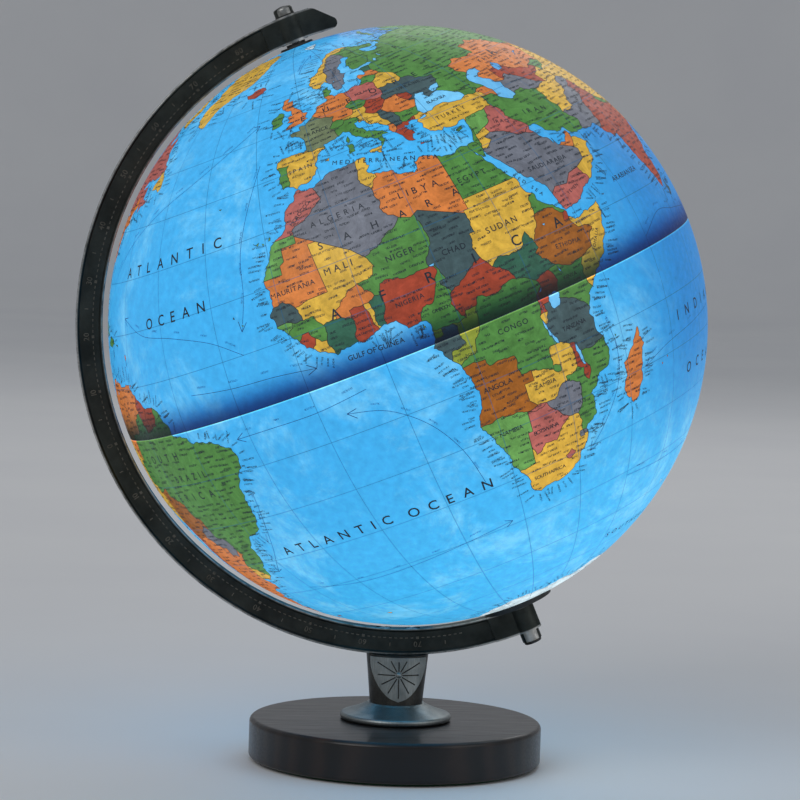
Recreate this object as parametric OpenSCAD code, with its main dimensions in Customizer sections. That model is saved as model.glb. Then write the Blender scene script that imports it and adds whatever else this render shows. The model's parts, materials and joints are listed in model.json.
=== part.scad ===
// Illuminated desktop globe: a two-shell translucent ball on a tilted axis, carried by a cast
// semi-meridian arm on a short post, a domed foot flange and a round wooden base.
// Origin: centre of the underside. +Z up, the arm lies in the XZ plane, the north pole leans to -X.

/* [Ball] */
// Outside diameter of the ball
ball_d = 304.8; // [300:0.2:310]
// Wall of each plastic hemisphere
shell_t = 1.6; // [1.4:0.1:1.8]
// Tilt of the axis from upright, in degrees
tilt = 23.5; // [20:0.5:27]
// Height of the ball's centre above the table
ball_z = 224.5; // [224.5:0.5:230]

/* [Meridian arm] */
// Free gap between ball and arm
arm_gap = 2.8; // [2.8:0.1:3.6]
// Radial width of the arm
arm_w = 13.6; // [13:0.2:15]
// Thickness of the arm over its raised borders
arm_t = 8; // [7.6:0.1:9]

/* [Stand] */
// Diameter of the wooden base
base_d = 150; // [144:1:180]
// Height of the base's top face
base_h = 22; // [20:0.5:23]
// Diameter of the foot flange
flange_d = 57; // [50:1:64]
// Height of the foot flange
flange_h = 9; // [8:0.5:10]
// Width of the post at its foot and at its top
post_foot_d = 27; // [26:1:30]
post_top_w = 32; // [30:1:34]
// Depth of the post at its top
post_top_t = 22; // [20:1:24]

/* [Hidden] */
$fn = 96;
eps = 0.01;

// Ball
ball_r = ball_d / 2;
ball_in = ball_r - shell_t;
seam_gap = 0.2;
north_hole_r = 7;
south_hole_r = 18.5;
ring_up = 10;
ring_down = 2;
ring_t = 2;

// North pivot, along the axis
bush_bore_r = 2.05;
tip_r = 2;
thread_r = 2.95;
thread_hole_r = 3;
knob_r = 4.9;
knob_h = 4.5;
bush_top = ball_r + 0.9;

// South pivot, measured down the axis from the ball's centre
collar_bore_r = 15.6;
collar_flange_r = 26;
lamp_base_r = 15.52;
lamp_base_in = 13.6;
collar_face = ball_r - 1.2;
ring_face = collar_face + 0.1;
ring_r = 18;
lamp_floor = ring_face + 0.9;
lamp_top = ball_r - 23.4;
nipple_r = 4;
nipple_bore_r = 3.2;
nipple_hole_r = 4.1;
nipple_end = ball_r + 22;
nut_r = 5.1;
cord_bore_r = 2.8;

// Arm
arm_in = ball_r + arm_gap;
arm_out = arm_in + arm_w;
flange_face = sqrt(arm_in * arm_in - ring_r * ring_r) - 0.1;
hub_r = 7;
pad_t = arm_t + 1.6;
rim_w = 1.5;
rim_h = 0.8;
north_pad_back = 14;
north_pad_front = 12;
nose_reach = 23.3;
nose_r = 3;
south_pad_back = 18;

// Lamp, measured down the axis from the ball's centre
socket_r = 13;
socket_in = 9.6;
socket_h = 32;
socket_foot = lamp_top;
socket_mouth = lamp_top - socket_h;
shell_r = 7.9;
shell_bore = 7.1;
cap_r = 6.85;
cap_low = socket_foot - 10;
cap_high = socket_mouth - 1;
glass_r = 14;
glass_len = 40;
glass_t = 0.8;

// Stand
felt_t = 1.5;
felt_r = base_d / 2 - 5;
bolt_r = 3.9;
bolt_hole_r = 4.3;
bolt_head_h = 5.3;
bolt_head_r = 7.5;
washer_t = 1.6;
washer_r = 10;
counterbore_r = 12;
counterbore_top = felt_t + 8.6;
post_z = base_h + flange_h;
arm_low = ball_z - arm_out;
bolt_top = post_z + 12;
shield_t = 1;
shield_hw = 14.4;
shield_top = arm_low - 0.4;
shield_drop = 22.5;
burst_z = arm_low - 9.2;
ray_w = 0.6;
ray_start = 1.9;
ray_lengths = [10.5, 12.5, 8.2, 6.8, 8.2, 12.5, 10.5, 9.9, 10.7, 11.8, 10.7, 9.9];
arm_screw_x = 7.5;
arm_screw_r = 2;
arm_screw_len = 25;

// ---------- helpers ----------

// The tilted frame: origin at the ball's centre, +z to the north pole, the arm on -x.
module on_axis() translate([0, 0, ball_z]) rotate([0, -tilt, 0]) children();

// The same frame turned over, so that heights are measured down towards the south pole.
module down_axis() on_axis() mirror([0, 0, 1]) children();

module tube(r_out, r_in, low, high) translate([0, 0, low]) difference() {
    cylinder(r = r_out, h = high - low);
    translate([0, 0, -1]) cylinder(r = r_in, h = high - low + 2);
}

// A solid drawn as an outline in the tilted XZ plane, with a thickness along Y.
module plate(t) rotate([90, 0, 0]) linear_extrude(t, center = true) children();

function arc_points(x, y, r, a0, a1, n = 6) =
    [for (i = [0:n]) let (a = a0 + (a1 - a0) * i / n) [x + r * cos(a), y + r * sin(a)]];

// ---------- base ----------

module base_felt() color("darkgreen") cylinder(r = felt_r, h = felt_t);

module base_disc() color([0.16, 0.10, 0.07]) difference() {
    rotate_extrude() polygon(concat(
        [[0, felt_t]],
        arc_points(base_d / 2 - 1.8, felt_t + 1.8, 1.8, -90, 0),
        arc_points(base_d / 2 - 2.6, base_h - 2.6, 2.6, 0, 90),
        [[0, base_h]]
    ));
    translate([0, 0, -1]) cylinder(r = bolt_hole_r, h = base_h + 2);
    translate([0, 0, -1]) cylinder(r = counterbore_r, h = counterbore_top + 1);
}

module base_bolt() color("silver") {
    translate([0, 0, counterbore_top - washer_t - bolt_head_h])
        cylinder(r = bolt_head_r, h = bolt_head_h, $fn = 6);
    translate([0, 0, counterbore_top - washer_t - eps])
        cylinder(r = bolt_r, h = bolt_top - counterbore_top + washer_t);
}

module base_washer() color("silver")
    tube(washer_r, bolt_hole_r, counterbore_top - washer_t, counterbore_top);

module foot_flange() color([0.62, 0.62, 0.60]) difference() {
    translate([0, 0, base_h]) rotate_extrude() polygon(concat(
        [[0, 0]],
        arc_points(flange_d / 2 - 1.9, 1.9, 1.9, -90, 60),
        [
            [flange_d * 0.40, flange_h * 0.56],
            [flange_d * 0.33, flange_h * 0.74],
            [flange_d * 0.275, flange_h * 0.91],
            [flange_d * 0.255, flange_h],
            [0, flange_h]
        ]
    ));
    translate([0, 0, base_h - 1]) cylinder(r = bolt_hole_r, h = flange_h + 2);
}

// ---------- post ----------

// The post's outer form, round at the foot and oval at the top, grown evenly by g.
module post_form(g = 0) hull() {
    translate([0, 0, post_z]) cylinder(r = post_foot_d / 2 + g, h = 0.1, $fn = 72);
    translate([0, 0, arm_low + 1]) scale([1, (post_top_t + 2 * g) / (post_top_w + 2 * g), 1])
        cylinder(r = post_top_w / 2 + g, h = 0.1, $fn = 72);
}

// What the arm's outer edge cuts away from the post's top.
module arm_saddle(gap) translate([0, 0, ball_z]) rotate([90, 0, 0])
    cylinder(r = arm_out + gap, h = 80, center = true, $fn = 360);

module post() color([0.20, 0.19, 0.18]) difference() {
    post_form();
    arm_saddle(0.05);
    translate([0, 0, post_z - 1]) cylinder(r = bolt_r + 0.1, h = bolt_top - post_z + 2);
    for (side = [-1, 1]) translate([side * arm_screw_x, 0, arm_low - arm_screw_len / 2])
        cylinder(r = arm_screw_r + 0.1, h = arm_screw_len);
}

function shield_half(t) = shield_hw * pow(1 - t * t, 0.62);

module shield_outline() {
    steps = 14;
    right = [for (i = [0:steps - 1]) let (t = i / steps) [shield_half(t), shield_top - shield_drop * t]];
    left = [for (i = [steps - 1:-1:0]) let (t = i / steps) [-shield_half(t), shield_top - shield_drop * t]];
    polygon(concat(right, [[0, shield_top - shield_drop]], left));
}

// A curved plaque on the post's face, with rays cut through it round a small boss.
module shield() color([0.66, 0.67, 0.66]) difference() {
    union() {
        difference() {
            post_form(shield_t);
            translate([0, 0, -eps]) rotate([90, 0, 0]) linear_extrude(40) difference() {
                translate([-30, 0]) square([60, 90]);
                shield_outline();
            }
            translate([-30, 0, 0]) cube([60, 30, 90]);
            for (i = [0:len(ray_lengths) - 1]) translate([0, 0, burst_z]) rotate([0, -30 * i, 0])
                translate([ray_start, -20, -ray_w / 2]) cube([ray_lengths[i] - ray_start, 20, ray_w]);
        }
        translate([0, -burst_y(), burst_z]) sphere(r = 1.6, $fn = 32);
    }
    post_form(0.05);
    arm_saddle(0.3);
}

// Distance of the plaque's face in front of the axis at the middle of the rays.
function burst_y() = let (t = (burst_z - post_z) / (arm_low + 1 - post_z))
    (post_foot_d * (1 - t) + post_top_t * t) / 2 + shield_t - 0.6;

module front_shield() shield();
module rear_shield() mirror([0, 1, 0]) shield();

// ---------- meridian arm ----------

// One flank of the arm's section: a recessed web between two round-edged borders.
module arm_section() {
    half = arm_t / 2;
    web = half - rim_h;
    quarter = concat(
        arc_points(arm_w / 2 - 0.5, half - 0.5, 0.5, 0, 90, 4),
        arc_points(arm_w / 2 - rim_w + 0.4, half - 0.4, 0.4, 90, 160, 3),
        [[arm_w / 2 - rim_w - 0.4, web]]
    );
    n = len(quarter);
    outline = concat(
        quarter,
        [for (i = [n - 1:-1:0]) [-quarter[i][0], quarter[i][1]]],
        [for (i = [0:n - 1]) [-quarter[i][0], -quarter[i][1]]],
        [for (i = [n - 1:-1:0]) [quarter[i][0], -quarter[i][1]]]
    );
    translate([arm_in + arm_w / 2, 0]) polygon(outline);
}

module arm_annulus() difference() {
    circle(r = arm_out, $fn = 360);
    circle(r = arm_in, $fn = 360);
}

module north_pad() plate(pad_t) {
    intersection() {
        arm_annulus();
        translate([-north_pad_back, 0]) square([north_pad_back + north_pad_front, arm_out + 1]);
    }
    difference() {
        hull() {
            translate([nose_reach - nose_r, arm_in + 2]) circle(r = nose_r, $fn = 48);
            translate([north_pad_front - 1, arm_out - 6.6]) circle(r = 6, $fn = 48);
            translate([0, arm_in]) square([1, arm_w - 0.1]);
        }
        circle(r = arm_in, $fn = 360);
    }
}

module south_pad() plate(pad_t) intersection() {
    arm_annulus();
    translate([-south_pad_back, -arm_out - 1]) square([south_pad_back + hub_r - 0.5, arm_out]);
}

module meridian_arm() color([0.42, 0.42, 0.41]) difference() {
    on_axis() difference() {
        union() {
            rotate([0, -90, 0]) rotate([90, 0, 0]) rotate_extrude(angle = 180, $fn = 360) arm_section();
            north_pad();
            south_pad();
            translate([0, 0, arm_in - 0.4]) cylinder(r = hub_r, h = arm_w + 0.4);
            mirror([0, 0, 1]) translate([0, 0, flange_face + 0.05])
                cylinder(r = hub_r, h = arm_out - flange_face - 0.05);
        }
        translate([0, 0, arm_in - 5]) cylinder(r = thread_hole_r, h = arm_w + 10);
        mirror([0, 0, 1]) translate([0, 0, arm_in - 5]) cylinder(r = nipple_hole_r, h = arm_w + 10);
    }
    for (side = [-1, 1]) translate([side * arm_screw_x, 0, 0]) {
        translate([0, 0, arm_low - 2]) cylinder(r = arm_screw_r + 0.15, h = arm_w + 6);
        translate([0, 0, arm_screw_head_z() - 2]) cylinder(r1 = arm_screw_r + 0.1, r2 = 3.9, h = 2.1);
        translate([0, 0, arm_screw_head_z()]) cylinder(r = 3.9, h = 3);
    }
}

// Height of the arm screws' countersunk heads, just below the arm's inner edge.
function arm_screw_head_z() = ball_z - sqrt(arm_in * arm_in - arm_screw_x * arm_screw_x) - 0.4;

module meridian_screws() color("silver") for (side = [-1, 1])
    translate([side * arm_screw_x, 0, arm_screw_head_z()]) difference() {
        union() {
            translate([0, 0, -2]) cylinder(r1 = arm_screw_r, r2 = 3.6, h = 2);
            translate([0, 0, -arm_screw_len + 2]) cylinder(r = arm_screw_r, h = arm_screw_len - 2 - eps);
        }
        for (turn = [0, 90]) rotate(turn) translate([-1.8, -0.4, -1]) cube([3.6, 0.8, 2]);
    }

// ---------- south pivot and lamp ----------

module lamp_nipple() color("goldenrod") down_axis()
    tube(nipple_r, nipple_bore_r, lamp_floor - 5, nipple_end);

module nipple_nut() color([0.35, 0.35, 0.34]) down_axis() difference() {
    translate([0, 0, arm_out + 0.05]) cylinder(r = nut_r, h = nipple_end - arm_out - 0.3);
    translate([0, 0, arm_out - 1]) cylinder(r = nipple_r + 0.05, h = 12);
    for (side = [-1, 1]) translate([side * nut_r, 0, nipple_end - 1])
        cube([2, 1.4, 2.4], center = true);
}

module cord_bush() color([0.07, 0.07, 0.07]) down_axis() difference() {
    union() {
        translate([0, 0, nipple_end - 5.6]) cylinder(r = nipple_bore_r - 0.05, h = 5.6 + eps);
        translate([0, 0, nipple_end]) rotate_extrude()
            polygon(concat([[0, 0], [4.6, 0]], arc_points(3.8, 0.6, 0.8, 0, 90, 5), [[0, 1.4]]));
    }
    translate([0, 0, nipple_end - 12]) cylinder(r = cord_bore_r, h = 14);
}

module nipple_locknut() color("silver") down_axis() difference() {
    translate([0, 0, lamp_floor - 4.8]) cylinder(r = 6.9, h = 3, $fn = 6);
    translate([0, 0, lamp_floor - 6]) cylinder(r = nipple_r + 0.05, h = 6);
}

// The cup on the arm that carries the lampholder and is the ball's lower bearing.
module lamp_base() color("white") down_axis() difference() {
    union() {
        translate([0, 0, lamp_top]) cylinder(r = lamp_base_r, h = lamp_floor - lamp_top);
        translate([0, 0, lamp_floor]) cylinder(r = ring_r, h = flange_face - lamp_floor);
    }
    translate([0, 0, lamp_top + 2]) cylinder(r = lamp_base_in, h = lamp_floor - lamp_top - 3.8);
    translate([0, 0, lamp_top - 1]) cylinder(r = 9, h = 4);
    translate([0, 0, lamp_floor - 3]) cylinder(r = nipple_hole_r, h = 8);
}

module thrust_ring() color("ivory") down_axis()
    tube(ring_r, lamp_base_r + 0.1, ring_face, lamp_floor);

module terminal_block() color("ivory") down_axis() difference() {
    translate([-8, -5, lamp_top + 4]) cube([16, 10, 9]);
    for (side = [-1, 1]) {
        translate([side * 4, 0, lamp_top + 3]) cylinder(r = 1.5, h = 11);
        translate([side * 4, -6, lamp_top + 8.5]) rotate([-90, 0, 0]) cylinder(r = 1.35, h = 6);
    }
}

module terminal_screws() color("goldenrod") down_axis() for (side = [-1, 1])
    translate([side * 4, -5.6, lamp_top + 8.5]) rotate([-90, 0, 0]) cylinder(r = 1.3, h = 4);

module socket_leads() color("saddlebrown") down_axis() for (side = [-1, 1])
    translate([side * 4, 0, lamp_top - 4.5]) cylinder(r = 0.9, h = 12, $fn = 24);

module lamp_socket() color([0.93, 0.92, 0.88]) down_axis() difference() {
    union() {
        translate([0, 0, socket_mouth]) cylinder(r = socket_r, h = socket_h - eps);
        translate([0, 0, socket_mouth + 18]) cylinder(r = socket_r + 1, h = 3);
    }
    translate([0, 0, socket_mouth - 1]) cylinder(r = socket_in, h = 24);
    for (side = [-1, 1]) translate([side * 4, 0, socket_foot - 12]) cylinder(r = 1.1, h = 14);
}

module socket_shell() color("gold") down_axis()
    tube(shell_r, shell_bore, socket_mouth + 1, socket_foot - 9.2);

module socket_contact() color("gold") down_axis() {
    translate([0, 0, socket_foot - 9.5]) cylinder(r = 3, h = 0.49);
    translate([0, 0, socket_foot - 9.9]) cylinder(r = 1.6, h = 0.5);
}

// ---------- bulb ----------

module bulb_cap() color("silver") down_axis() difference() {
    translate([0, 0, cap_high]) cylinder(r = cap_r, h = cap_low - cap_high - 2);
    translate([0, 0, cap_high - 1]) cylinder(r = cap_r - 0.5, h = cap_low - cap_high - 2);
}

module bulb_contact() color([0.1, 0.1, 0.1]) down_axis() {
    translate([0, 0, cap_low - 2]) cylinder(r1 = 5.5, r2 = 2.5, h = 1.6);
    translate([0, 0, cap_low - 0.5]) cylinder(r = 2.2, h = 0.5);
}

// Height of the glass above the cap's rim, for its radius, as a smooth pear form.
function glass_outline(inset) = concat(
    [for (i = [0:10]) let (t = i / 10, s = t * t * (3 - 2 * t))
        [5.6 - inset + (glass_r - 5.6) * s, cap_high - 1 - t * (glass_len - glass_r)]],
    [for (i = [1:12]) let (a = 90 * i / 12)
        [(glass_r - inset) * cos(a), cap_high - 1 - (glass_len - glass_r) - (glass_r - inset) * sin(a)]]
);

module bulb_glass() color([0.95, 0.97, 1, 0.5]) down_axis() rotate_extrude() polygon(concat(
    [[5.6, cap_high + 3]],
    glass_outline(0),
    [for (i = [len(glass_outline(glass_t)) - 1:-1:0]) glass_outline(glass_t)[i]],
    [[5.6 - glass_t, cap_high + 3]]
));

module bulb_stem() color([0.85, 0.9, 0.92]) down_axis() {
    translate([0, 0, cap_high - 12]) cylinder(r = 1.6, h = 14);
    for (side = [-1, 1]) translate([side * 0.9, 0, cap_high - 12]) rotate([0, side * 14 + 180, 0])
        cylinder(r = 0.3, h = 10, $fn = 16);
}

module bulb_filament() color("orange") down_axis() translate([0, 0, cap_high - 24.5])
    rotate([0, 90, 0]) cylinder(r = 0.5, h = 9, center = true, $fn = 16);

// ---------- ball ----------

module hemisphere(hole_r) difference() {
    sphere(r = ball_r, $fn = 180);
    sphere(r = ball_in, $fn = 180);
    translate([0, 0, -ball_r + seam_gap / 2]) cube(2 * ball_r, center = true);
    translate([0, 0, ball_r - 20]) cylinder(r = hole_r, h = 30);
}

module north_hemisphere() color([0.35, 0.68, 0.88]) on_axis() hemisphere(north_hole_r);
module south_hemisphere() color([0.35, 0.68, 0.88]) down_axis() hemisphere(south_hole_r);

// Joining band glued inside the north shell; its lower lip locates the south shell.
module equator_ring() color("ivory") on_axis() rotate_extrude($fn = 180) let (r = ball_in - 0.15)
    polygon(concat(
        arc_points(0, 0, r, -asin(ring_down / r), asin(ring_up / r)),
        [[ball_in - ring_t, ring_up], [ball_in - ring_t, -ring_down]]
    ));

module north_bush() color("ivory") on_axis() difference() {
    union() {
        translate([0, 0, ball_r - 6.4]) cylinder(r = north_hole_r - 0.1, h = 6.4);
        translate([0, 0, ball_r - 0.1]) cylinder(r1 = 9, r2 = 8.2, h = bush_top - ball_r + 0.1);
    }
    translate([0, 0, ball_r - 8]) cylinder(r = bush_bore_r, h = 12);
}

module north_push_ring() color("silver") on_axis()
    tube(11, north_hole_r - 0.05, ball_in - 2, ball_in - 0.5);

module north_spacer() color("ivory") on_axis() tube(5, bush_bore_r, bush_top, arm_in - 0.7);

// Bearing collar glued inside the south shell, with its neck through the pole hole.
module south_collar() color("ivory") down_axis() difference() {
    union() {
        translate([0, 0, ball_r - 9]) cylinder(r = south_hole_r - 0.1, h = collar_face - ball_r + 9);
        translate([0, 0, ball_r - 9]) cylinder(r = collar_flange_r, h = 5);
    }
    translate([0, 0, ball_r - 10]) cylinder(r = collar_bore_r, h = 12);
}

// ---------- north pivot ----------

module knob_washer() color("ivory") on_axis() tube(5.1, thread_hole_r + 0.1, arm_out, arm_out + 0.7);

module pivot_screw() color("silver") on_axis() {
    translate([0, 0, ball_r - 5]) cylinder(r1 = 1.4, r2 = tip_r, h = 1);
    translate([0, 0, ball_r - 4 - eps]) cylinder(r = tip_r, h = arm_gap + 4);
    translate([0, 0, arm_in - 0.2]) cylinder(r = thread_r, h = arm_w + 3);
}

// Low round head with a coin slot, pressed on the pivot screw.
module pivot_knob() color([0.35, 0.35, 0.34]) on_axis() translate([0, 0, arm_out + 0.7]) difference() {
    rotate_extrude() polygon(concat(
        [[0, 0], [knob_r, 0]],
        arc_points(knob_r - 1.4, knob_h - 2, 1.4, 0, 60, 5),
        arc_points(0, knob_h - 10.4, 10.4, 70, 90, 4)
    ));
    translate([0, 0, -1]) cylinder(r = thread_r + 0.02, h = 3.3);
    translate([0, 0, knob_h]) cube([20, 1.2, 2.2], center = true);
}

base_felt();
base_disc();
base_bolt();
base_washer();
foot_flange();
post();
front_shield();
rear_shield();
meridian_arm();
meridian_screws();
lamp_nipple();
nipple_nut();
cord_bush();
nipple_locknut();
lamp_base();
thrust_ring();
terminal_block();
terminal_screws();
socket_leads();
lamp_socket();
socket_shell();
socket_contact();
bulb_cap();
bulb_contact();
bulb_glass();
bulb_stem();
bulb_filament();
north_hemisphere();
south_hemisphere();
equator_ring();
north_bush();
north_push_ring();
north_spacer();
south_collar();
knob_washer();
pivot_screw();
pivot_knob();
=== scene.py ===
import json
import math
import random

import bpy
import numpy as np
from mathutils import Matrix, Vector
from mathutils.geometry import delaunay_2d_cdt

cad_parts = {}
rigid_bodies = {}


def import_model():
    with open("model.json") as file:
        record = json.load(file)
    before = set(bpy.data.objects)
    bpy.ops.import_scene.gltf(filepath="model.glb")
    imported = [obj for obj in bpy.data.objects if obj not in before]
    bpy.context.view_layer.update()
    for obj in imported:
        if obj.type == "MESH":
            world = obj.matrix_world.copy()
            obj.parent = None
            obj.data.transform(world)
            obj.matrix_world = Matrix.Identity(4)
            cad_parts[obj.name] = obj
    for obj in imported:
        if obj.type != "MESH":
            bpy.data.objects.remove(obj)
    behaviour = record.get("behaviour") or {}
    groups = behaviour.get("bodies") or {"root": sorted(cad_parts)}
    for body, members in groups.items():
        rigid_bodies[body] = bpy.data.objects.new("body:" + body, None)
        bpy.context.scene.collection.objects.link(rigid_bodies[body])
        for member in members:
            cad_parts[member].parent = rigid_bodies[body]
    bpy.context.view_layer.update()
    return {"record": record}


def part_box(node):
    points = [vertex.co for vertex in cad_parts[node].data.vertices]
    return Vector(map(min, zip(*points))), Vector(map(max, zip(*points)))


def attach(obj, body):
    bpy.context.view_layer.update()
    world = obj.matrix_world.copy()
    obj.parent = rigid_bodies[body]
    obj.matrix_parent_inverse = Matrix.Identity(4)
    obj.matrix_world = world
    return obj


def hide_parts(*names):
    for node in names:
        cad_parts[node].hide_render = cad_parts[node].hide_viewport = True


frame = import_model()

MM = 0.001

# ---------- places and sizes, from the frame ----------

SPIN = next(joint for joint in frame["record"]["behaviour"]["joints"] if joint["name"] == "globe_spin")
CENTRE = np.array(SPIN["pos_m"])
NORTH = np.array(SPIN["axis"]) / np.linalg.norm(SPIN["axis"])
BALL_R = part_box("north_hemisphere")[1][2] - CENTRE[2]
WALL = 1.6 * MM
SEAM_HALF = 0.1 * MM
ARM_OUT = -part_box("meridian_arm")[0][0]
ARM_IN = ARM_OUT - 13.6 * MM
ARM_FACE = 3.2 * MM
DASH_REACH = ARM_IN + 4.9 * MM
NUMBER_REACH = ARM_IN + 8.3 * MM

# The globe's own frame: east at the arm's plane on the far side from the arm, and the front of the ball.
TILT = math.atan2(-NORTH[0], NORTH[2])
EAST = np.array([math.cos(TILT), 0.0, math.sin(TILT)])
FRONT = np.array([0.0, -1.0, 0.0])
FRONT_LONGITUDE = 9.2
NORTH_LIMIT = math.degrees(math.acos(7 * MM / BALL_R))
SOUTH_LIMIT = -math.degrees(math.acos(18.5 * MM / BALL_R))
SEAM_LATITUDE = math.degrees(math.asin(SEAM_HALF / BALL_R))
TURN_STEPS = 144
STEP_DEGREES = 360 / TURN_STEPS


def on_ball(lon, lat, lift=0.0):
    """Points on the ball's surface, or lift above it, from degrees of longitude and latitude."""
    turn = np.radians(np.asarray(lon, dtype=float) - FRONT_LONGITUDE)
    rise = np.radians(np.asarray(lat, dtype=float))
    way = (np.outer(np.sin(rise), NORTH) + np.outer(np.cos(rise) * np.cos(turn), FRONT)
           + np.outer(np.cos(rise) * np.sin(turn), EAST))
    return CENTRE + (BALL_R + lift) * way


# ---------- node helpers ----------

class Surface:
    """A material with a Principled shader, and short ways to add nodes to it."""

    def __init__(self, name, **fixed):
        self.material = bpy.data.materials.new(name)
        self.material.use_nodes = True
        self.tree = self.material.node_tree
        self.shader = self.tree.nodes["Principled BSDF"]
        for socket, value in fixed.items():
            self.shader.inputs[socket.replace("_", " ")].default_value = value

    def add(self, kind, inputs=None, **settings):
        node = self.tree.nodes.new("ShaderNode" + kind)
        for key, value in settings.items():
            setattr(node, key, value)
        for key, value in (inputs or {}).items():
            if isinstance(value, bpy.types.NodeSocket):
                self.tree.links.new(value, node.inputs[key])
            else:
                node.inputs[key].default_value = value
        return node

    def place(self):
        return self.add("TexCoord").outputs["Object"]

    def maths(self, operation, a, b=0.0, clamp=False):
        return self.add("Math", {0: a, 1: b}, operation=operation, use_clamp=clamp).outputs[0]

    def noise(self, scale, detail=4.0, roughness=0.55, place=None, stretch=None, distortion=0.0):
        spot = place or self.place()
        if stretch:
            spot = self.add("Mapping", {"Vector": spot, "Scale": stretch}).outputs[0]
        node = self.add("TexNoise", {"Vector": spot, "Scale": scale, "Detail": detail,
                                     "Roughness": roughness, "Distortion": distortion})
        return node.outputs["Fac"]

    def remap(self, value, low, high, to_low=0.0, to_high=1.0, smooth=False):
        node = self.add("MapRange", {"Value": value, "From Min": low, "From Max": high,
                                     "To Min": to_low, "To Max": to_high})
        node.interpolation_type = "SMOOTHSTEP" if smooth else "LINEAR"
        return node.outputs[0]

    def ramp(self, value, *stops):
        node = self.add("ValToRGB", {"Fac": value})
        band = node.color_ramp
        while len(band.elements) < len(stops):
            band.elements.new(0.5)
        for element, (spot, tint) in zip(band.elements, stops):
            element.position = spot
            element.color = (*tint, 1)
        return node.outputs["Color"]

    def mix(self, factor, a, b, blend="MIX"):
        """Mixes two colours; plain ones are given as three numbers."""
        node = self.add("Mix", {"Factor": factor}, data_type="RGBA", blend_type=blend)
        for socket, value in ((node.inputs[6], a), (node.inputs[7], b)):
            if isinstance(value, bpy.types.NodeSocket):
                self.tree.links.new(value, socket)
            else:
                socket.default_value = (*value, 1)
        return node.outputs[2]

    def bump(self, height, depth, strength=1.0):
        node = self.add("Bump", {"Height": height, "Distance": depth, "Strength": strength})
        self.link(node.outputs[0], "Normal")

    def link(self, output, socket):
        self.tree.links.new(output, self.shader.inputs[socket])

    def globe_place(self):
        """Latitude and longitude in degrees at a point of the ball."""
        arm = self.add("VectorMath", {0: self.place(), 1: tuple(CENTRE)}, operation="SUBTRACT").outputs[0]
        along = [self.add("VectorMath", {0: arm, 1: tuple(way)}, operation="DOT_PRODUCT").outputs["Value"]
                 for way in (NORTH, FRONT, EAST)]
        rise = self.maths("ARCSINE", self.maths("DIVIDE", along[0], BALL_R, clamp=False))
        turn = self.maths("ARCTAN2", along[2], along[1])
        lat = self.maths("MULTIPLY", rise, math.degrees(1))
        lon = self.maths("ADD", self.maths("MULTIPLY", turn, math.degrees(1)), FRONT_LONGITUDE)
        return lat, lon


# ---------- materials ----------

# Painted glow: the print emits light in its own colours, standing for the inner lamp shining through the
# shell.
GLOW = 0.62


def dim(surface, colour, level):
    """Scales a colour by a painted light level: a level under 1 darkens it towards blue as painted shade, one
    over 1 brightens it as painted glow.
    """
    parts = {i: surface.maths("POWER", level, power) for i, power in enumerate((1.5, 1.1, 0.72))}
    return surface.mix(1.0, colour, surface.add("CombineColor", parts).outputs[0], "MULTIPLY")


def shade_band(surface, lat):
    """Painted shade and light at the seam: the joining ring inside the ball shades a soft band just north of
    the seam, and a thin painted bright line lies just south of it.
    """
    north = surface.remap(lat, 0.0, 6.5, 0.10, 1.0, smooth=True)
    south = surface.remap(lat, -0.30, -0.12, 1.0, 1.9, smooth=True)
    above = surface.maths("GREATER_THAN", lat, 0.0)
    below = surface.maths("SUBTRACT", 1.0, above)
    return surface.maths("ADD", surface.maths("MULTIPLY", north, above),
                         surface.maths("MULTIPLY", south, below))


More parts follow.
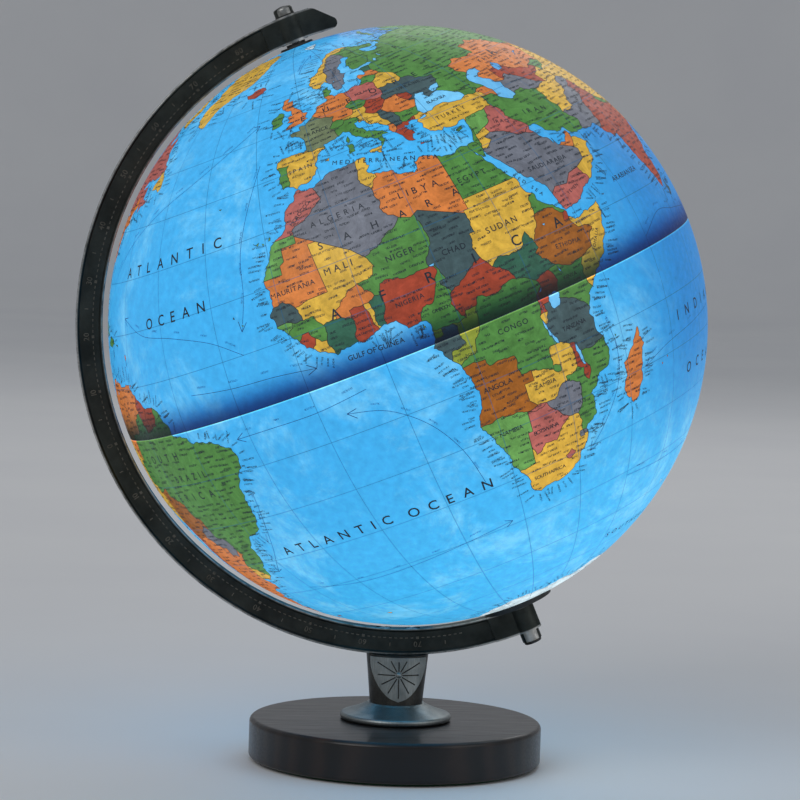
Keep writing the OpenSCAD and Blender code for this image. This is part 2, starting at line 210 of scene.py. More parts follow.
def make_map():
    surface = Surface("map_print", Specular_IOR_Level=0.32, Emission_Strength=GLOW)
    ink = surface.add("Attribute", attribute_name="ink").outputs["Color"]
    land = surface.add("Attribute", attribute_name="land").outputs["Fac"]
    lat, lon = surface.globe_place()
    # Soft pale clouds in the printed sea, and a fine mottle in every tint.
    swell = surface.remap(surface.noise(20, 9, 0.72, distortion=0.6), 0.47, 0.70, 0.0, 0.62, smooth=True)
    at_sea = surface.maths("SUBTRACT", 1.0, land)
    sea = surface.mix(surface.maths("MULTIPLY", swell, at_sea), ink, (0.22, 0.62, 0.88))
    # The sea about the Indian Ocean is darkened to a deeper blue: painted shade for the ball's darker right
    # side.
    east = surface.maths("ABSOLUTE", surface.maths("SUBTRACT", lon, 84.0))
    right_side_painted_shade = surface.maths("MULTIPLY", surface.remap(east, 14.0, 44.0, 0.80, 0.0, smooth=True),
                         surface.remap(lat, -46.0, -18.0, 0.0, 1.0, smooth=True))
    sea = surface.mix(surface.maths("MULTIPLY", right_side_painted_shade, at_sea), sea, (0.012, 0.17, 0.50))
    mottle = surface.remap(surface.noise(260, 6, 0.65), 0.3, 0.7, 0.86, 1.12)
    relief = surface.remap(surface.noise(75, 8, 0.75, distortion=1.2), 0.32, 0.68, 0.66, 1.26)
    relief = surface.add("Mix", {"Factor": land, "A": 1.0, "B": relief}).outputs[0]
    grain = surface.maths("MULTIPLY", mottle, relief)
    tinted = surface.mix(1.0, sea, surface.add("CombineColor", {0: grain, 1: grain, 2: grain}).outputs[0],
                         "MULTIPLY")
    # Parallels each 10 degrees and meridians each 15, as thin lines.
    off_parallel = surface.maths("PINGPONG", lat, 5.0)
    cosine = surface.maths("COSINE", surface.maths("RADIANS", lat))
    off_meridian = surface.maths("MULTIPLY", surface.maths("PINGPONG", lon, 7.5), cosine)
    nearest = surface.maths("MINIMUM", off_parallel, off_meridian)
    line = surface.remap(nearest, 0.035, 0.10, 0.62, 0.0)
    lined = surface.mix(line, tinted, (0.01, 0.09, 0.20))
    # The lamp stands low in the ball, so the southern print is the brightest.
    low = surface.remap(lat, -5.0, -62.0, 1.0, 1.32, smooth=True)
    # band: the seam's painted shade and bright line, times the lamp's painted glow from below.
    band = surface.maths("MULTIPLY", shade_band(surface, lat), low)
    shown = dim(surface, lined, band)
    surface.link(shown, "Base Color")
    surface.link(shown, "Emission Color")
    surface.link(surface.remap(surface.noise(420, 3), 0.3, 0.7, 0.34, 0.50), "Roughness")
    surface.bump(surface.noise(900, 3), 0.02 * MM, 0.35)
    return surface.material


def make_ink(name, tint, glow):
    # The ink glows by emission too: painted light from the inner lamp.
    surface = Surface(name, Roughness=0.45, Emission_Strength=glow)
    lat, lon = surface.globe_place()
    # The seam's painted shade band and painted bright line fall on the ink too, mixed with a random blot.
    band = shade_band(surface, lat)
    blot_and_seam_shade = surface.maths("MULTIPLY", band, surface.remap(surface.noise(700, 3), 0.3, 0.7, 0.7, 1.25))
    shown = surface.mix(1.0, tint, surface.add("CombineColor", {0: blot_and_seam_shade, 1: blot_and_seam_shade, 2: blot_and_seam_shade}).outputs[0],
                        "MULTIPLY")
    surface.link(shown, "Base Color")
    surface.link(shown, "Emission Color")
    return surface.material


def make_metal(name, dark, light, rough, wear_scale, fine=1800, depth=0.03, cast=False, metallic=1.0):
    """A metal with cloudy tone, fine scratches or cast grain, and uneven gloss."""
    surface = Surface(name, Metallic=metallic)
    cloud = surface.noise(wear_scale, 6, 0.62)
    streak = surface.noise(fine, 2, 0.5, stretch=None if cast else (1, 1, 0.06))
    blend = surface.maths("ADD", surface.maths("MULTIPLY", cloud, 0.7),
                          surface.maths("MULTIPLY", streak, 0.3))
    surface.link(surface.ramp(blend, (0.34, dark), (0.62, light)), "Base Color")
    surface.link(surface.remap(blend, 0.3, 0.7, rough + 0.10, rough - 0.08), "Roughness")
    surface.bump(surface.noise(fine * (0.35 if cast else 1), 4, 0.6), depth * MM, 0.5)
    return surface


def make_arm_metal():
    """Dark antique casting whose raised borders and ends are rubbed back to pewter."""
    surface = Surface("arm_antique", Metallic=0.85)
    spot = surface.place()
    offset = surface.add("VectorMath", {0: spot, 1: tuple(CENTRE)}, operation="SUBTRACT").outputs[0]
    flat = surface.add("VectorMath", {0: offset, 1: (1.0, 0.0, 1.0)}, operation="MULTIPLY").outputs[0]
    reach = surface.add("VectorMath", {0: flat}, operation="LENGTH").outputs["Value"]
    depth = surface.maths("ABSOLUTE", surface.add("SeparateXYZ", {0: spot}).outputs[1])
    raised = surface.remap(depth, ARM_FACE + 0.25 * MM, ARM_FACE + 0.75 * MM, smooth=True)
    rims = surface.maths("MAXIMUM",
                         surface.remap(reach, ARM_IN + 1.1 * MM, ARM_IN + 0.3 * MM, smooth=True),
                         surface.remap(reach, ARM_OUT - 1.2 * MM, ARM_OUT - 0.4 * MM, smooth=True))
    patches = surface.remap(surface.noise(130, 6, 0.65), 0.30, 0.62, 0.25, 1.0, smooth=True)
    rubbed = surface.maths("MULTIPLY", surface.maths("MAXIMUM", surface.maths("MULTIPLY", raised, rims), 0.0),
                           patches)
    tone = surface.ramp(surface.noise(70, 6, 0.6), (0.30, (0.020, 0.023, 0.021)),
                        (0.70, (0.050, 0.056, 0.050)))
    surface.link(surface.mix(rubbed, tone, (0.50, 0.50, 0.48)), "Base Color")
    surface.link(surface.maths("SUBTRACT", surface.remap(surface.noise(300, 5), 0.3, 0.7, 0.36, 0.56),
                               surface.maths("MULTIPLY", rubbed, 0.12)), "Roughness")
    surface.bump(surface.noise(1500, 5, 0.65), 0.05 * MM, 0.6)
    return surface.material


def make_wood():
    """Espresso stained veneer: long grain along X, pores, and a satin varnish over it."""
    surface = Surface("espresso_wood", Coat_Weight=0.30, Coat_Roughness=0.16, Specular_IOR_Level=0.3)
    spot = surface.place()
    bend = surface.noise(7, 3, 0.5)
    bent = surface.add("Mapping", {"Vector": spot, "Scale": (0.06, 1.0, 0.5)}).outputs[0]
    bands = surface.add("TexWave", {"Vector": bent, "Scale": 34.0, "Distortion": 3.0, "Detail": 3.0,
                                    "Detail Scale": 1.6}, bands_direction="Y").outputs["Fac"]
    pores = surface.noise(900, 3, 0.7, stretch=(0.035, 1.0, 1.0))
    grain = surface.maths("ADD", surface.maths("MULTIPLY", bands, 0.55),
                          surface.maths("MULTIPLY", surface.maths("ADD", pores, bend), 0.24))
    surface.link(surface.ramp(grain, (0.25, (0.0050, 0.0038, 0.0040)), (0.55, (0.0100, 0.0068, 0.0062)),
                              (0.85, (0.0200, 0.0120, 0.0092))), "Base Color")
    surface.link(surface.remap(pores, 0.35, 0.65, 0.46, 0.30), "Roughness")
    surface.bump(surface.maths("ADD", pores, surface.maths("MULTIPLY", bands, 0.3)), 0.06 * MM, 0.45)
    return surface.material


def make_plain(name, dark, light, rough, scale=500, depth=0.03, **fixed):
    """Moulded or glazed stuff: two close tones, a fine grain and uneven gloss."""
    surface = Surface(name, **fixed)
    surface.link(surface.ramp(surface.noise(scale * 0.2, 5), (0.35, dark), (0.65, light)), "Base Color")
    surface.link(surface.remap(surface.noise(scale, 3), 0.3, 0.7, rough - 0.06, rough + 0.08), "Roughness")
    surface.bump(surface.noise(scale * 3, 4), depth * MM, 0.5)
    return surface.material


def make_felt():
    surface = Surface("green_felt", Roughness=0.95, Sheen_Weight=0.6, Specular_IOR_Level=0.15)
    fibres = surface.noise(2600, 6, 0.75, distortion=1.5)
    tone = surface.ramp(fibres, (0.3, (0.012, 0.040, 0.020)), (0.7, (0.035, 0.095, 0.050)))
    surface.link(tone, "Base Color")
    surface.bump(fibres, 0.25 * MM, 0.9)
    return surface.material


def make_glass():
    surface = Surface("lamp_glass", Roughness=0.04, IOR=1.46, Transmission_Weight=0.95,
                      Emission_Strength=0.25)
    frost = surface.noise(120, 4)
    surface.link(surface.ramp(frost, (0.3, (0.95, 0.93, 0.88)), (0.7, (1.0, 0.99, 0.96))), "Base Color")
    surface.link(surface.ramp(frost, (0.3, (1.0, 0.80, 0.52)), (0.7, (1.0, 0.88, 0.66))), "Emission Color")
    return surface.material


def make_filament():
    surface = Surface("hot_filament", Roughness=0.5, Emission_Strength=18.0)
    coil = surface.noise(3000, 2)
    surface.link(surface.ramp(coil, (0.3, (1.0, 0.50, 0.16)), (0.7, (1.0, 0.74, 0.38))), "Emission Color")
    return surface.material


PEWTER = ((0.16, 0.18, 0.18), (0.30, 0.325, 0.32))
MATERIALS = {
    "map_shell": make_map(),
    "arm_metal": make_arm_metal(),
    "post_metal": make_metal("post_antique", (0.024, 0.024, 0.022), (0.062, 0.060, 0.054), 0.40, 90,
                             depth=0.05, cast=True, metallic=0.8).material,
    "pewter": make_metal("satin_pewter", *PEWTER, 0.40, 80).material,
    "steel": make_metal("zinc_steel", (0.46, 0.46, 0.47), (0.66, 0.66, 0.67), 0.28, 160).material,
    "brass": make_metal("drawn_brass", (0.62, 0.42, 0.14), (0.82, 0.60, 0.26), 0.26, 140).material,
    "dark_wood": make_wood(),
    "felt": make_felt(),
    "pale_plastic": make_plain("ivory_plastic", (0.70, 0.68, 0.60), (0.80, 0.78, 0.70), 0.48),
    "dark_plastic": make_plain("black_plastic", (0.012, 0.012, 0.012), (0.028, 0.028, 0.028), 0.42),
    "porcelain": make_plain("glazed_porcelain", (0.80, 0.79, 0.74), (0.88, 0.87, 0.83), 0.16,
                            Coat_Weight=0.4),
    "lamp_glass": make_glass(),
    "filament": make_filament(),
}
COAST_INK = make_ink("coast_ink", (0.012, 0.055, 0.10), 0.5)
BORDER_INK = make_ink("border_ink", (0.022, 0.020, 0.016), 0.4)
NAME_INK = make_ink("name_ink", (0.010, 0.018, 0.030), 0.4)
CURRENT_INK = make_ink("current_ink", (0.006, 0.060, 0.20), 0.5)
SHELL_INSIDE = make_plain("shell_inside", (0.78, 0.80, 0.80), (0.86, 0.88, 0.88), 0.5)
SCALE_METAL = make_metal("scale_metal", (0.075, 0.070, 0.058), (0.17, 0.16, 0.135), 0.40, 200).material


for node in frame["record"]["subparts"]:
    carried = bpy.data.objects[node["node"]]
    for spot in carried.material_slots:
        spot.material = MATERIALS[node["material_slot"]]

# ---------- the map ----------

# Outlines as longitude,latitude in degrees, parted by ";". LAND and WATER are closed, BORDERS open; a
# border that starts with "=" follows a surveyed straight line and isn't roughened.
LAND = """
-6,35.8 -5.3,35.9 -4.4,35.2 -2.9,35.3 -1.9,35.1 -0.6,35.8 1,36.5 3,36.9 5,36.8 7.5,37 9.8,37.3 11,37.1
10.5,36.4 10.6,35.5 11.1,35.2 10,34.3 10.2,33.8 11.1,33.2 12.5,32.8 13.2,32.9 15.2,32.4 15.8,31.3
17.8,30.8 19,30.3 20,30.9 20.1,32.2 21.6,32.9 23.1,32.6 25,31.7 27,31.1 29,30.9 30.3,31.5 31.1,31.6
32.3,31.2 32.6,29.9 32.8,28.9 33.6,27.8 34,26.7 35,24.8 35.6,23.9 36.9,22 37.3,21 37.2,19.6 37.5,18.6
38.6,18 39.5,15.6 41.2,14.6 42.4,13.2 43.3,12.4 43.1,11.5 44.3,10.5 47,11.2 49,11.3 51.2,11.9 51,10.4
50.8,9.3 49.8,8 48.5,5.3 47.5,4 45.4,2 43.5,0.6 42.5,-0.4 41.6,-1.7 40.2,-2.6 39.7,-4 38.8,-6 39.5,-6.9
39.3,-8 39.7,-9.9 40.5,-10.7 40.6,-12.5 40.8,-14.8 39.8,-16.4 37,-17.9 34.9,-19.9 35.5,-22 35.5,-24
33,-25.3 32.6,-26 32.9,-27 32.4,-28.6 31,-29.9 28.9,-32.3 27,-33.6 25.7,-34 23.5,-34 22,-34.2 20,-34.8
18.8,-34.2 18.4,-33.9 18,-32.8 18.2,-31.8 17,-29.5 16.4,-28.6 15.2,-26.8 14.5,-22.8 13.3,-20.2 11.8,-18
11.8,-16.5 12.1,-15.2 13.4,-12.6 13.7,-10.8 13.1,-8.9 12.3,-6.1 11.9,-4.8 10.6,-3.4 8.8,-0.7 9.4,0.4
9.8,1.9 9.9,2.9 9.6,4 8.5,4.6 7,4.4 6,4.3 5.2,5.4 4.4,6.4 3.4,6.4 1.2,6.1 -0.2,5.5 -2,4.8 -4,5.2 -5.5,5.1
-7.5,4.4 -9,5.3 -10.8,6.3 -12.5,7.4 -13.2,8.5 -13.7,9.5 -15,10.8 -15.8,11.9 -16.8,12.5 -16.7,13.4
-17.5,14.7 -16.5,16 -16.2,17.5 -16.2,19.3 -17,20.9 -16.3,22.8 -15.8,23.8 -14.5,26.1 -13,27.7 -11.5,28.3
-10.1,29.4 -9.7,30.4 -9.8,31.4 -8.5,33.3 -6.9,34 ; 32.3,31.2 34.3,31.4 35,32.8 35.6,33.9 35.8,35.5
36.1,36.7 34.6,36.7 34,36.3 32.6,36.1 30.6,36.8 29.7,36.2 28.2,36.7 27.3,37.1 26.4,38.4 26.9,39.4 26.1,40
26.8,40.6 25.9,40.8 24.2,40.8 24,40.2 22.8,40.4 23,39.4 24,38 23.3,37.9 22.9,37.3 23.1,36.5 22.4,36.6
21.7,36.9 21.2,38 20.7,38.9 19.4,40.3 19.5,41.8 18.4,42.5 16.5,43.5 15.2,44.3 14.6,45.2 13.6,45 13.6,45.7
12.3,45.3 12.4,44.3 13.6,43.5 14.2,42.4 16.1,41.9 18.5,40.2 17,40.4 16.9,39.4 17.1,39 16.2,38.3 15.7,37.95
16.1,39 15.7,40 14.4,40.7 12.3,41.7 10.5,42.9 10.2,43.9 8.8,44.4 7.5,43.8 5,43.4 3.1,43.2 3.2,42.2 0.8,41
-0.3,39.5 0.2,38.7 -0.8,37.6 -2.1,36.8 -4.5,36.7 -5.6,36 -6.4,36.8 -7.4,37.2 -8.9,37 -9.5,38.7 -8.8,40.5
-9.2,43.1 -7.9,43.7 -3.8,43.5 -1.6,43.4 -1.2,44.8 -1.2,46 -2.3,47.2 -4.6,48 -4.6,48.6 -1.6,48.7 -1.8,49.7
0.1,49.5 1.6,50.4 3.2,51.4 4.5,52.4 5,53.2 7,53.5 8.6,53.9 8.2,55.5 8.2,56.8 10.6,57.7 10.3,56.6 10.9,56.4
9.8,55.2 11,54.2 12.5,54.4 14.2,54 16.5,54.5 18.6,54.8 19.8,54.5 21,55.3 21,57 22,57.6 23.6,57 24.4,57.4
24.4,58.4 23.5,59.2 26,59.6 28.2,59.5 30.2,59.9 28.5,60.6 25,60.2 23,59.9 21.4,60.9 21.3,62.5 22.5,63.7
25.3,65 24.2,65.8 22.2,65.7 21.2,64.3 17.9,62.8 17.2,60.7 18.9,59.8 16.7,58.4 16.4,56.8 14.3,55.6
12.9,55.5 12.2,57 11.3,58.9 10.6,59.6 8,58.1 5.6,58.9 5,61 6.5,62.8 10,64 12.8,66.3 15.5,68.3 18.5,69.8
23,70.8 25.8,71.1 31,70.4 33,69.4 41,67.7 40,66.2 34.5,66.7 33,66.6 34.9,64.4 37.5,63.9 40,64.7 42.2,66.3
44,66.1 43.6,68.6 46.2,67.9 46.5,66.9 48,67.6 53,68.7 59,68.8 61,69.6 64.9,69.3 67.8,68.7 66.8,70.8
68.5,72.8 72.7,72.7 72.5,70.6 73.5,68 74.6,70 75,72.6 80.5,73.6 87,75 98,76.3 104.3,77.7 112,76 112.5,73.9
120,73.1 127,73.5 130,71 139.5,72.3 150,71.6 160,69.8 170,69.7 176,69.8 180,68.9 180,65.2 177.5,64.7
179.3,62.6 174,61.8 170.3,60 164.5,59.9 163,58 162.3,56.2 160,53.2 156.7,51 155.8,54 156.5,57.2 160,60.3
163.7,62.5 160,61.8 155,59.4 149,59.6 143.2,59.4 138.7,56.8 135.3,54.7 137.5,53.7 141.2,53.2 140.5,50
138,46.5 135.5,44.4 132,43.2 130.7,42.3 129.7,41 127.5,39.7 128.5,38.4 129.5,36.8 129.2,35.2 126.5,34.4
126.5,36.7 126.6,37.6 125,38.1 125.2,39.5 124.3,40 121.4,39 121.8,40.8 119,39.2 117.7,38.7 119,37.3
122.5,37.2 119.3,35 121.4,32.4 121.9,31 121.9,29.3 119.7,26 118,24.5 116.5,23 113.8,22.4 110.5,21.2
110.2,20.4 109.8,21.5 108,21.6 106.5,20.3 105.8,18.8 107.5,16.6 109.2,13.5 109,11.4 107,10.4 105,8.7
104.8,10 103,10.8 102.3,12.2 100.9,12.7 100.5,13.5 99.9,12 99.3,9.3 100.6,7.2 102.2,6.2 103.4,4.5
104.2,1.4 103.3,1.4 101,2.9 100.3,5.7 99.5,7 98.3,8 98.6,10.5 98.6,13 97.7,16.3 95.4,15.8 94.3,16 94.4,18
92.3,20.8 91.8,22.4 90.4,22.1 88.2,21.6 87,20.8 85,19.4 82.3,16.6 80.2,15.5 80.3,13.2 79.8,10.3 78.2,8.9
77.5,8.1 76.3,10 74.8,12.9 73.6,16 72.8,19 72.7,21.2 72.2,21.2 71,20.8 69,22.3 68.2,23.7 66.6,25.2
61.6,25.1 57.3,25.7 56.5,27.1 54,26.6 51.5,27.9 50.2,30 48.6,30 48,29.4 48.8,27.9 50.2,26.5 50.8,24.8
51.2,26.1 51.6,24.2 54,24.2 56.3,26.2 56.5,24.5 58.7,23.5 59.8,22.5 58,20.3 57.7,19 55.2,17.5 52.2,15.6
48.7,14 45,12.8 43.4,12.7 42.8,15 42.5,16.8 40.8,19.7 39,21.5 38,23.8 36.5,26 35,28 34.9,29.5 34.3,27.8
33.2,28.7 32.6,29.9 ; -180,68.9 -175,67.4 -169.8,66.1 -172.5,64.5 -176,65.3 -178.5,66.1 -180,65.2 ;
-5.7,50.1 -3.5,50.3 1.3,51.1 0.6,51.5 1.7,52.7 0.3,53 -0.1,54 -1.5,55 -2.6,56.1 -2,57.7 -4,57.7 -3.1,58.6
-5,58.6 -6.1,56.7 -5,55.3 -3.2,54.9 -3,53.4 -4.6,53.2 -4.2,52.3 -5.1,51.8 -3,51.4 -4.3,51.1 ; -6.2,53.4
-6.3,52.2 -9.8,51.5 -9.6,52.8 -9.9,54 -8.3,54.6 -7.3,55.3 -5.6,54.5 ; -22.5,64 -24,65.5 -21.5,65.4
-20.3,66.1 -16.2,66.5 -13.6,65.1 -15,64.3 -18.7,63.4 -21,63.8 ; -44,59.9 -48.5,61 -52,64.4 -53.5,67
-51,69.6 -54.5,70.8 -55,72.6 -58,75.2 -66,76 -71,77.8 -66,79.4 -60,82 -45,82.6 -32,83.6 -20,82 -17,80
-20,77 -19.5,75 -22,72.5 -24,70.4 -28,68.4 -33,67.5 -37.5,65.7 -40.5,64.5 -42,62.5 -43,60.3 ; 11,79 16,80
27,80.1 22,78.3 17,76.7 14,77.6 ; 52,71.3 54,73.5 58,75.7 68,76.9 66,76 58,74 56,72 57,70.6 ; 96,79.5
100,81 105,79.2 100,78 ; 138,75.5 148,75.2 142,74 ; 8.2,39 8.3,41 9.6,41 9.6,39.2 ; 8.6,42 9.4,43 9.5,41.8
9,41.4 ; 12.5,38 15.6,38.2 15.1,36.7 12.6,37.6 ; 23.6,35.5 26.3,35.3 26,35 23.6,35.2 ; 32.4,35 34.5,35.6
34,34.9 32.8,34.6 ; 2.4,39.6 3.4,39.9 3.1,39.3 ; -17.8,28.7 -17.2,28.2 -16.4,28.6 -16.8,28 ; -15.8,28.2
-15.3,28 -15.6,27.7 ; -14.3,28.2 -13.8,29 -13.8,28.3 ; -25.2,17.1 -24.9,16.6 -25.3,16.7 ; -23.7,15.2
-23.3,15 -23.6,14.8 ; -25.9,37.9 -25.1,37.8 -25.5,37.6 ; 8.5,3.8 8.9,3.5 8.6,3.2 ; 49.3,-12 50.4,-15.5
49.6,-16.2 48.6,-20 47.1,-24.9 45.5,-25.5 43.7,-23.5 43.3,-22 44.4,-20 44,-17.3 46,-15.8 48,-13.6 ;
55.3,-20.9 55.8,-21 55.6,-21.4 ; 57.4,-20.1 57.8,-20.3 57.4,-20.5 ; 43.2,-11.4 43.5,-11.7 43.2,-11.9 ;
53.4,12.6 54.4,12.5 53.9,12.3 ; 79.8,8 80.2,9.8 81.8,7.5 81,6.2 80,6.1 ; 95.3,5.6 97.5,5.2 100.4,2.5
103.5,-0.6 106,-3 105.8,-5.8 104.5,-5.8 102.3,-4 100.3,-1 98.7,1.7 96,4 ; 105.2,-6.8 106.5,-6 108.6,-6.7
110.8,-6.4 112.7,-7 114.5,-7.8 114.4,-8.7 110,-8 106.5,-7.4 ; 115,-8.2 119,-8.3 123,-8.2 124.8,-8.2
127,-8.4 124,-10.2 123.5,-9 119,-8.8 115,-8.8 ; 109,1.5 109.7,2 111.3,2.6 113,3.2 115.5,5.3 117,7
119.2,5.3 117.8,4 118,2 119,1 117.5,-0.5 116.3,-3 114.5,-4.1 112,-3.4 110,-2 109.1,-0.3 ; 119.8,0.5
121,1.3 125,1.6 124,0.5 120.3,0.4 120.8,-1.3 123.3,-0.9 121.7,-2 122.5,-3.5 122.6,-5.3 121.5,-4.5
120.9,-2.7 120.4,-5.5 119.5,-5.5 119.4,-3.4 118.9,-2.7 ; 127.5,1.8 128.3,1.3 128,-0.6 127.6,0.4 ; 128,-3.2
130.6,-3.4 128.5,-3.5 ; 131,-0.8 134,-0.8 134.8,-3.2 137.8,-1.5 141,-2.6 144.5,-3.9 147.8,-6 147,-6.8
150.8,-10.4 147.5,-10 144.5,-7.7 142.5,-9.3 138,-8.3 138.5,-7 135,-4.4 132.9,-4 133.8,-2.7 132,-2.2 ;
148.5,-5.7 152,-4.3 151.5,-5.5 149.5,-6.2 ; 154.8,-5.6 157,-7 161,-9.5 159.5,-9.4 156,-7.3 ; 164.2,-20.2
167,-22.3 166.3,-22.2 ; 177.3,-17.6 178.5,-17.7 177.5,-18.2 ; 120.3,16 120.6,18.5 122.2,18.4 121.5,16
124,13 123,13 121,13.7 120.2,14.8 ; 122,7 123.5,8.6 125.5,9.7 126.5,7.5 125.5,5.7 124,6.4 ; 122,11.8
125.3,12.4 125,10.2 123,9.2 122.5,10.2 ; 117.2,8.4 119.5,11.3 119.2,10.2 ; 120.1,23 121.5,25.2 121.8,24.5
120.8,22 ; 108.7,19.2 110.5,20.1 110.5,19 109.3,18.2 ; 131,34 132.7,35.5 136,35.7 137,37.3 139.5,38.2
140,40.5 141,41.4 142,39.6 141,38.2 140.8,35.7 138.8,34.7 136.8,34.4 135.7,33.5 134.5,34.7 132.3,34 ;
140.2,42 141.8,45.4 145.3,43.5 143.2,42 141,42.5 ; 129.8,33.3 131,33.9 132,32.8 131,31.2 130.2,31.5 ;
132.5,33.3 134.5,34.2 134.2,33.3 133,32.8 ; 142,46 142.2,53 143.3,54.2 143.5,50 144.5,49 142.8,46.9 ;
142.5,-10.8 143.5,-14 145.4,-15 146.2,-18.7 149,-20.5 150.9,-23.2 153,-25 153.5,-28.5 152.5,-32.3
150.8,-34.5 150,-37.3 147.5,-38 146.3,-39 144.5,-38.2 143.5,-38.8 140.5,-38 139.5,-36.3 138,-35.5
138,-33.3 136,-34.8 135.2,-34.5 134,-32.8 131.2,-31.5 126,-32.3 123.8,-33.9 120,-34 118,-35 115.2,-34.3
115.7,-32 114.2,-29 113.5,-26.3 113.7,-23 114.2,-21.8 117,-20.7 119.5,-20 121.8,-18.3 122.2,-17.2
123.6,-16.6 125.5,-14.5 127,-14 129.5,-14.9 130.2,-13 131,-12.1 132.7,-11.4 135.2,-12.2 136.8,-12.3
135.8,-14 136,-15 139.3,-17.4 140.9,-17.3 141.7,-14.5 141.7,-12.5 ; 144.7,-41 148.3,-41 147.9,-43
146.3,-43.5 145.3,-42 ; 172.7,-34.5 175.3,-36.8 178.5,-37.7 177,-39.5 175.3,-41.6 174.8,-40 173.8,-39.4
174.8,-37.5 ; 172.7,-40.6 174.3,-41.5 172.8,-43.6 170.7,-45.8 168.5,-46.6 166.5,-46 168.5,-44 171,-42.4 ;
-180,-78 -165,-78.2 -158,-77.5 -146,-75.5 -130,-74 -115,-74 -102,-73.2 -90,-73 -77,-73.3 -67.5,-72
-67,-68.5 -61,-64.5 -57,-63.3 -60,-66 -62,-70 -61,-74 -70,-77 -50,-78 -36,-78 -27,-76 -16,-72.7 0,-70
15,-69.8 33,-68.6 40,-69.5 50,-67 57,-66.7 68,-68 73,-70 80,-67.8 95,-66.5 110,-66.3 125,-66.5 140,-66.7
155,-69 170,-71.5 165,-74.5 163,-77.5 180,-78 180,-89 -180,-89 ; -168,65.6 -163,66.8 -166.5,68.3 -163,69.5
-156.5,71.3 -148,70.4 -141,69.6 -135,69.3 -128,70.3 -124,70 -115,69 -113.5,67.8 -108,67.8 -101,67.8
-96,68.2 -94.5,71.9 -91.5,69.6 -88,68.7 -85.5,69.8 -81.5,69.4 -81.5,68 -86,66.4 -87,64.5 -90.5,63.5 -94,61
-94.8,58.8 -92.5,57 -87.5,56 -82.3,55.2 -82.3,53 -80.5,51.4 -79,51.5 -79,54 -76.5,56.3 -78.3,58.8
-77.5,60.8 -78,62.4 -73.5,62.3 -70,61 -69.5,59 -67.5,58.3 -65,60 -64.5,60.3 -62,57.8 -59.5,55.2 -56,52.8
-55.8,51.5 -60,50.2 -66.5,50.2 -69,48.6 -65,49.2 -64.5,47.8 -64,46.2 -61.5,45.7 -60,46.5 -61,45.2
-65.8,43.6 -66,44.8 -67,44.8 -70.2,43.6 -70.8,42.5 -70,41.7 -72,41.3 -74,40.6 -74.2,39.5 -75.2,38.5 -76,37
-75.6,35.3 -77.8,34 -79.5,33.1 -81.2,31.7 -81.4,30 -80.1,27 -80.3,25.3 -81.6,25.9 -82.7,28 -84,30
-85.5,29.8 -88,30.3 -89.5,29.2 -91.5,29.4 -94.7,29.4 -97.2,27.7 -97.7,24.5 -97.3,21 -96,19.2 -94.5,18.2
-92,18.6 -90.6,19.5 -90.3,21 -87,21.5 -87.5,19.5 -88.2,18 -88.8,15.9 -86,15.9 -83.3,15 -83.5,12.4 -83.7,11
-82.3,9.1 -80.2,9 -79.5,9.5 -77.4,8.6 -77.9,7.2 -78.5,8.6 -80,8 -80.4,7.3 -83,8.3 -84.7,9.8 -85.8,10.3
-87.5,12.8 -90,13.6 -92.3,14.6 -94.5,16.2 -97,15.8 -99.8,16.8 -102.2,18 -105.5,19.9 -105.4,21.5 -107,24
-109.4,26 -112.3,29 -114.7,31.5 -114.6,30.5 -112.8,28 -111,26 -109.6,23.1 -112.1,24.8 -112.3,26.1
-115,27.8 -115.8,30.2 -117.1,32.5 -118.4,33.9 -120.6,34.6 -122.5,37.6 -124.3,40.4 -124.5,42.8 -124,46.2
-124.7,48.4 -122.6,48 -123.2,49.2 -127.3,50.9 -128.5,52.8 -130.5,54.5 -133,57 -136.5,58.5 -140,59.7
-145,60.4 -148,60 -151.8,59.3 -151,61 -154,59.3 -158,56.7 -163,54.7 -160,56 -157.5,58.6 -162,58.7 -162,60
-165.5,61.5 -164.5,63 -161,64.3 -166,64.5 ; -61.5,66.6 -64.5,63.5 -65,62 -71,62.9 -77.5,64.4 -73,66
-73,68.2 -79,70 -89,70.7 -89,73 -81,73.7 -76,72.7 -70,70.8 -67,69 ; -80,76.3 -90,76.5 -88,79 -91.5,81.5
-80,83 -64,82.8 -66,80.7 -75,79 -79,77.5 ; -80,75.7 -96,76.5 -92,74.7 -81,74.6 ; -117,69.8 -116,73 -105,73
-101.5,70 -103,68.7 -113,68.5 ; -125.5,72 -123.5,74.3 -117.5,73.4 -120,71.4 ; -102,72.8 -98,74 -96.5,72.5
; -116,75 -112,76.3 -105,75.8 -108,74.7 ; -87,64 -84,66 -80.5,64 -84,62.9 ; -59.2,47.7 -57.3,51 -55.5,51.5
-53,48 -54,46.8 ; -128.3,50.7 -125.3,50.2 -123.5,48.4 -125.5,49.2 ; -154,57.3 -152.3,58.2 -152.5,57.2 ;
-84.9,21.9 -82.5,23.1 -79.5,22.8 -74.3,20.3 -77.5,19.9 -78.5,21.3 -82,22.4 ; -74.4,18.4 -73,19.9
-69.8,19.7 -68.4,18.6 -71,18 -72,18.2 ; -78.3,18.3 -76.3,18 -77.5,17.8 ; -67.2,18.4 -65.7,18.4 -66,18 ;
-61.8,10.7 -61,10.7 -61.3,10.1 ; -61.7,16.4 -61.2,16.2 -61.4,14.5 -61,14 ; -78.2,25.1 -77.8,24 -78.3,24.3
; -156,20.2 -155,19.5 -155.8,19 ; -158.2,21.6 -157.7,21.4 -158.1,21.3 ; -91.4,0 -90.9,-0.6 -91.2,-1 ;
-77.4,8.6 -75.5,10.6 -74.8,11.1 -71.7,12.3 -71.6,11 -70,11.8 -68.4,11.2 -66,10.5 -62,10.7 -61.8,9.8
